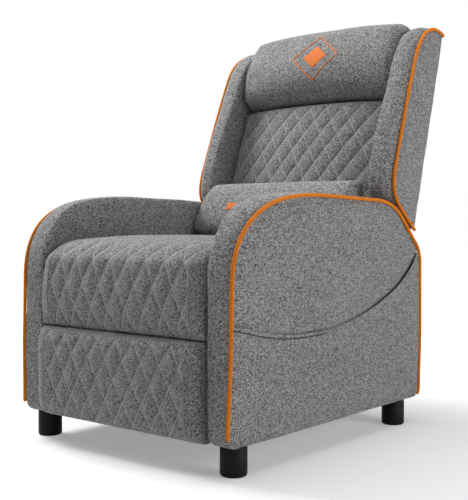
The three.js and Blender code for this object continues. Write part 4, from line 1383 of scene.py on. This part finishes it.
def covered_panel(name, node, body, low, high, turn=None, seams=()):
    """A box of cloth over thin foam, crowned on its rear face, with upright seams."""
    bm = bmesh.new()
    bmesh.ops.create_cube(bm, size=1.0)
    size = Vector(high) - Vector(low)
    bmesh.ops.scale(bm, vec=size, verts=bm.verts)
    bmesh.ops.translate(bm, vec=(Vector(low) + Vector(high)) / 2, verts=bm.verts)
    bmesh.ops.bevel(bm, geom=bm.edges[:], offset=PANEL_EDGE, segments=3, profile=0.5, affect="EDGES",
                    material=-1)
    long_faces = [f for f in bm.faces if abs(f.normal.y) > 0.99]
    edges = list({e for f in long_faces for e in f.edges})
    bmesh.ops.subdivide_edges(bm, edges=edges, cuts=PANEL_CUTS, use_grid_fill=True)
    for vert in bm.verts:
        rear = (vert.co.y - low[1]) / size.y
        if rear > 0.5:
            span = max(0.0, 1 - (2 * abs(vert.co.x) / size.x) ** 4)
            rise = (vert.co.z - low[2]) / size.z
            vert.co.y -= PANEL_CROWN * (1 - span * max(0.0, 1 - (2 * abs(rise - 0.5)) ** 6))
            vert.co.y += 0.0008 * ripple(vert.co, 0.09, 4.4)
            for seam_x in seams:
                vert.co.y -= SEAM_GROOVE * math.exp(-(((vert.co.x - seam_x) / SEAM_GROOVE_WIDTH) ** 2))
        if turn:
            vert.co = turn(vert.co)
    piece = finished(name, bm, body, plain_cloth, [node])
    print(name, len(piece.data.polygons), "faces")


covered_panel("rear_panel_cover", "back_cover", "back", (-COVER_HALF, 0.0103, 0.060),
              (COVER_HALF, 0.0223, 0.684), leaning, (-PANEL_SEAM, PANEL_SEAM))
skirt_low, skirt_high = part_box("rear_skirt")
covered_panel("rear_skirt_cover", "rear_skirt", "base", skirt_low, skirt_high)

# %% [markdown]
# Springs in the frame are drawn with few sides. Seen from below they should be round
# wire, so each is swept again along the same zigzag.

# %% Springs
WIRE = 0.002
SPRING_PITCH = 0.130
BENDS = 9
STEPS = 180
for node, place in (("seat_spring_left", -1), ("seat_spring_middle", 0), ("seat_spring_right", 1)):
    low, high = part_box(node)
    reach = (high.x - low.x) / 2 - WIRE
    path = [Vector((place * SPRING_PITCH + reach * math.sin(BENDS * math.pi * k / STEPS),
                    low.y + (high.y - low.y) * k / STEPS, (low.z + high.z) / 2)) for k in range(STEPS + 1)]
    swept(node + "_wire", path, WIRE, "seat", zinc, [node], sides=2)
print("springs", BENDS, "bends each")

# %% [markdown]
# Camera and light: the chair is seen from its front corner at seat height with a long
# lens. The floor and the surround are white only where they are looked at, so they throw
# no extra light. A lamp high on the left models the quilting, one above gives the pale
# tops, and one on the right lifts the outer panel.

# %% Camera
VIEW_TURN = math.radians(39.8)
VIEW_DROP = math.radians(1.83)
SENSOR, LENS = 36, 67.43
EYE = (1.5317, FRONT - 1.4299, 0.530)
camera_data = bpy.data.cameras.new("camera")
camera_data.sensor_width = SENSOR
camera_data.lens = LENS
camera = laid_down("camera", camera_data)
camera.location = EYE
camera.rotation_euler = (math.pi / 2 - VIEW_DROP, 0, VIEW_TURN)
scene.camera = camera
print("camera at", [round(c, 3) for c in EYE])


# %% Lamps
def lamp(name, place, aim, size, energy):
    """A square soft box that looks at a height over the middle of the floor."""
    data = bpy.data.lights.new(name, "AREA")
    data.size = size
    data.energy = energy
    light = laid_down(name, data)
    light.location = place
    light.rotation_euler = (Vector((0, 0, aim)) - Vector(place)).to_track_quat("-Z", "Y").to_euler()


lamp("key_high_left", (-2.6, -0.4, 2.9), 0.5, 1.6, 132)
lamp("front_top", (-0.4, -1.5, 3.4), 0.5, 1.8, 16)
lamp("overhead", (0.3, 0.3, 3.2), 0.5, 2.2, 34)
lamp("right_soft", (3.4, 0.4, 1.0), 0.6, 1.3, 47)
print("lamps", [light.name for light in bpy.data.lights])


# %% Surround and floor
AMBIENT = 0.048
FLOOR_GLOW = 0.30
FLOOR_HALF = 9.0
GLOW_FROM, GLOW_TO = 0.5, 1.8
WHITE = (1, 1, 1, 1)


def seen_directly(finish):
    """1 for what the camera sees itself, in a gloss or through glass, else 0."""
    rays = [finish.node("ShaderNodeLightPath", out=name)
            for name in ("Is Camera Ray", "Is Glossy Ray", "Is Transmission Ray")]
    return finish.node("ShaderNodeClamp", None, {0: rays[0] + rays[1] + rays[2]})


world = Finish("studio", "worlds")
scene.world = world.owner
lit = world.node("ShaderNodeBackground", None, {"Color": WHITE, "Strength": AMBIENT})
white = world.node("ShaderNodeBackground", None, {"Color": WHITE, "Strength": 1.0})
backdrop = world.node("ShaderNodeMixShader", None, {0: seen_directly(world), 1: lit, 2: white})
world.node("ShaderNodeOutputWorld", None, {"Surface": backdrop})

floor_finish = Finish("pale_floor")
away = floor_finish.node("ShaderNodeVectorMath", {"operation": "LENGTH"},
                         {0: floor_finish.node("ShaderNodeTexCoord", out="Object")}, 1)
fade = floor_finish.node("ShaderNodeMapRange", {"interpolation_type": "SMOOTHSTEP"},
                         {0: away, 1: GLOW_FROM, 2: GLOW_TO, 3: FLOOR_GLOW, 4: 1.0})
glow = floor_finish.mix(seen_directly(floor_finish) * fade, grey(0.0), grey(1.0))
speckle = floor_finish.noise(60, 2.0)
pale = floor_finish.mix(speckle, grey(0.76), grey(0.80))
bm = bmesh.new()
bmesh.ops.create_grid(bm, x_segments=1, y_segments=1, size=FLOOR_HALF)
floor = raw("floor", bm)
floor.data.materials.append(floor_finish.surface(Base_Color=pale, Roughness=0.9, Emission_Color=glow,
                                                 Emission_Strength=1.0))
floor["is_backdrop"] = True

# %% [markdown]
# Last, the view transform stays plain, so a colour renders about as it is written,
# and how much larger the dressed chair is than the frame is printed.

# %% Finish
scene.view_settings.view_transform = "Standard"
low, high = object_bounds()
print("size", [round(a - b, 4) for a, b in zip(high - low, cad_high - cad_low)], "larger than the frame")
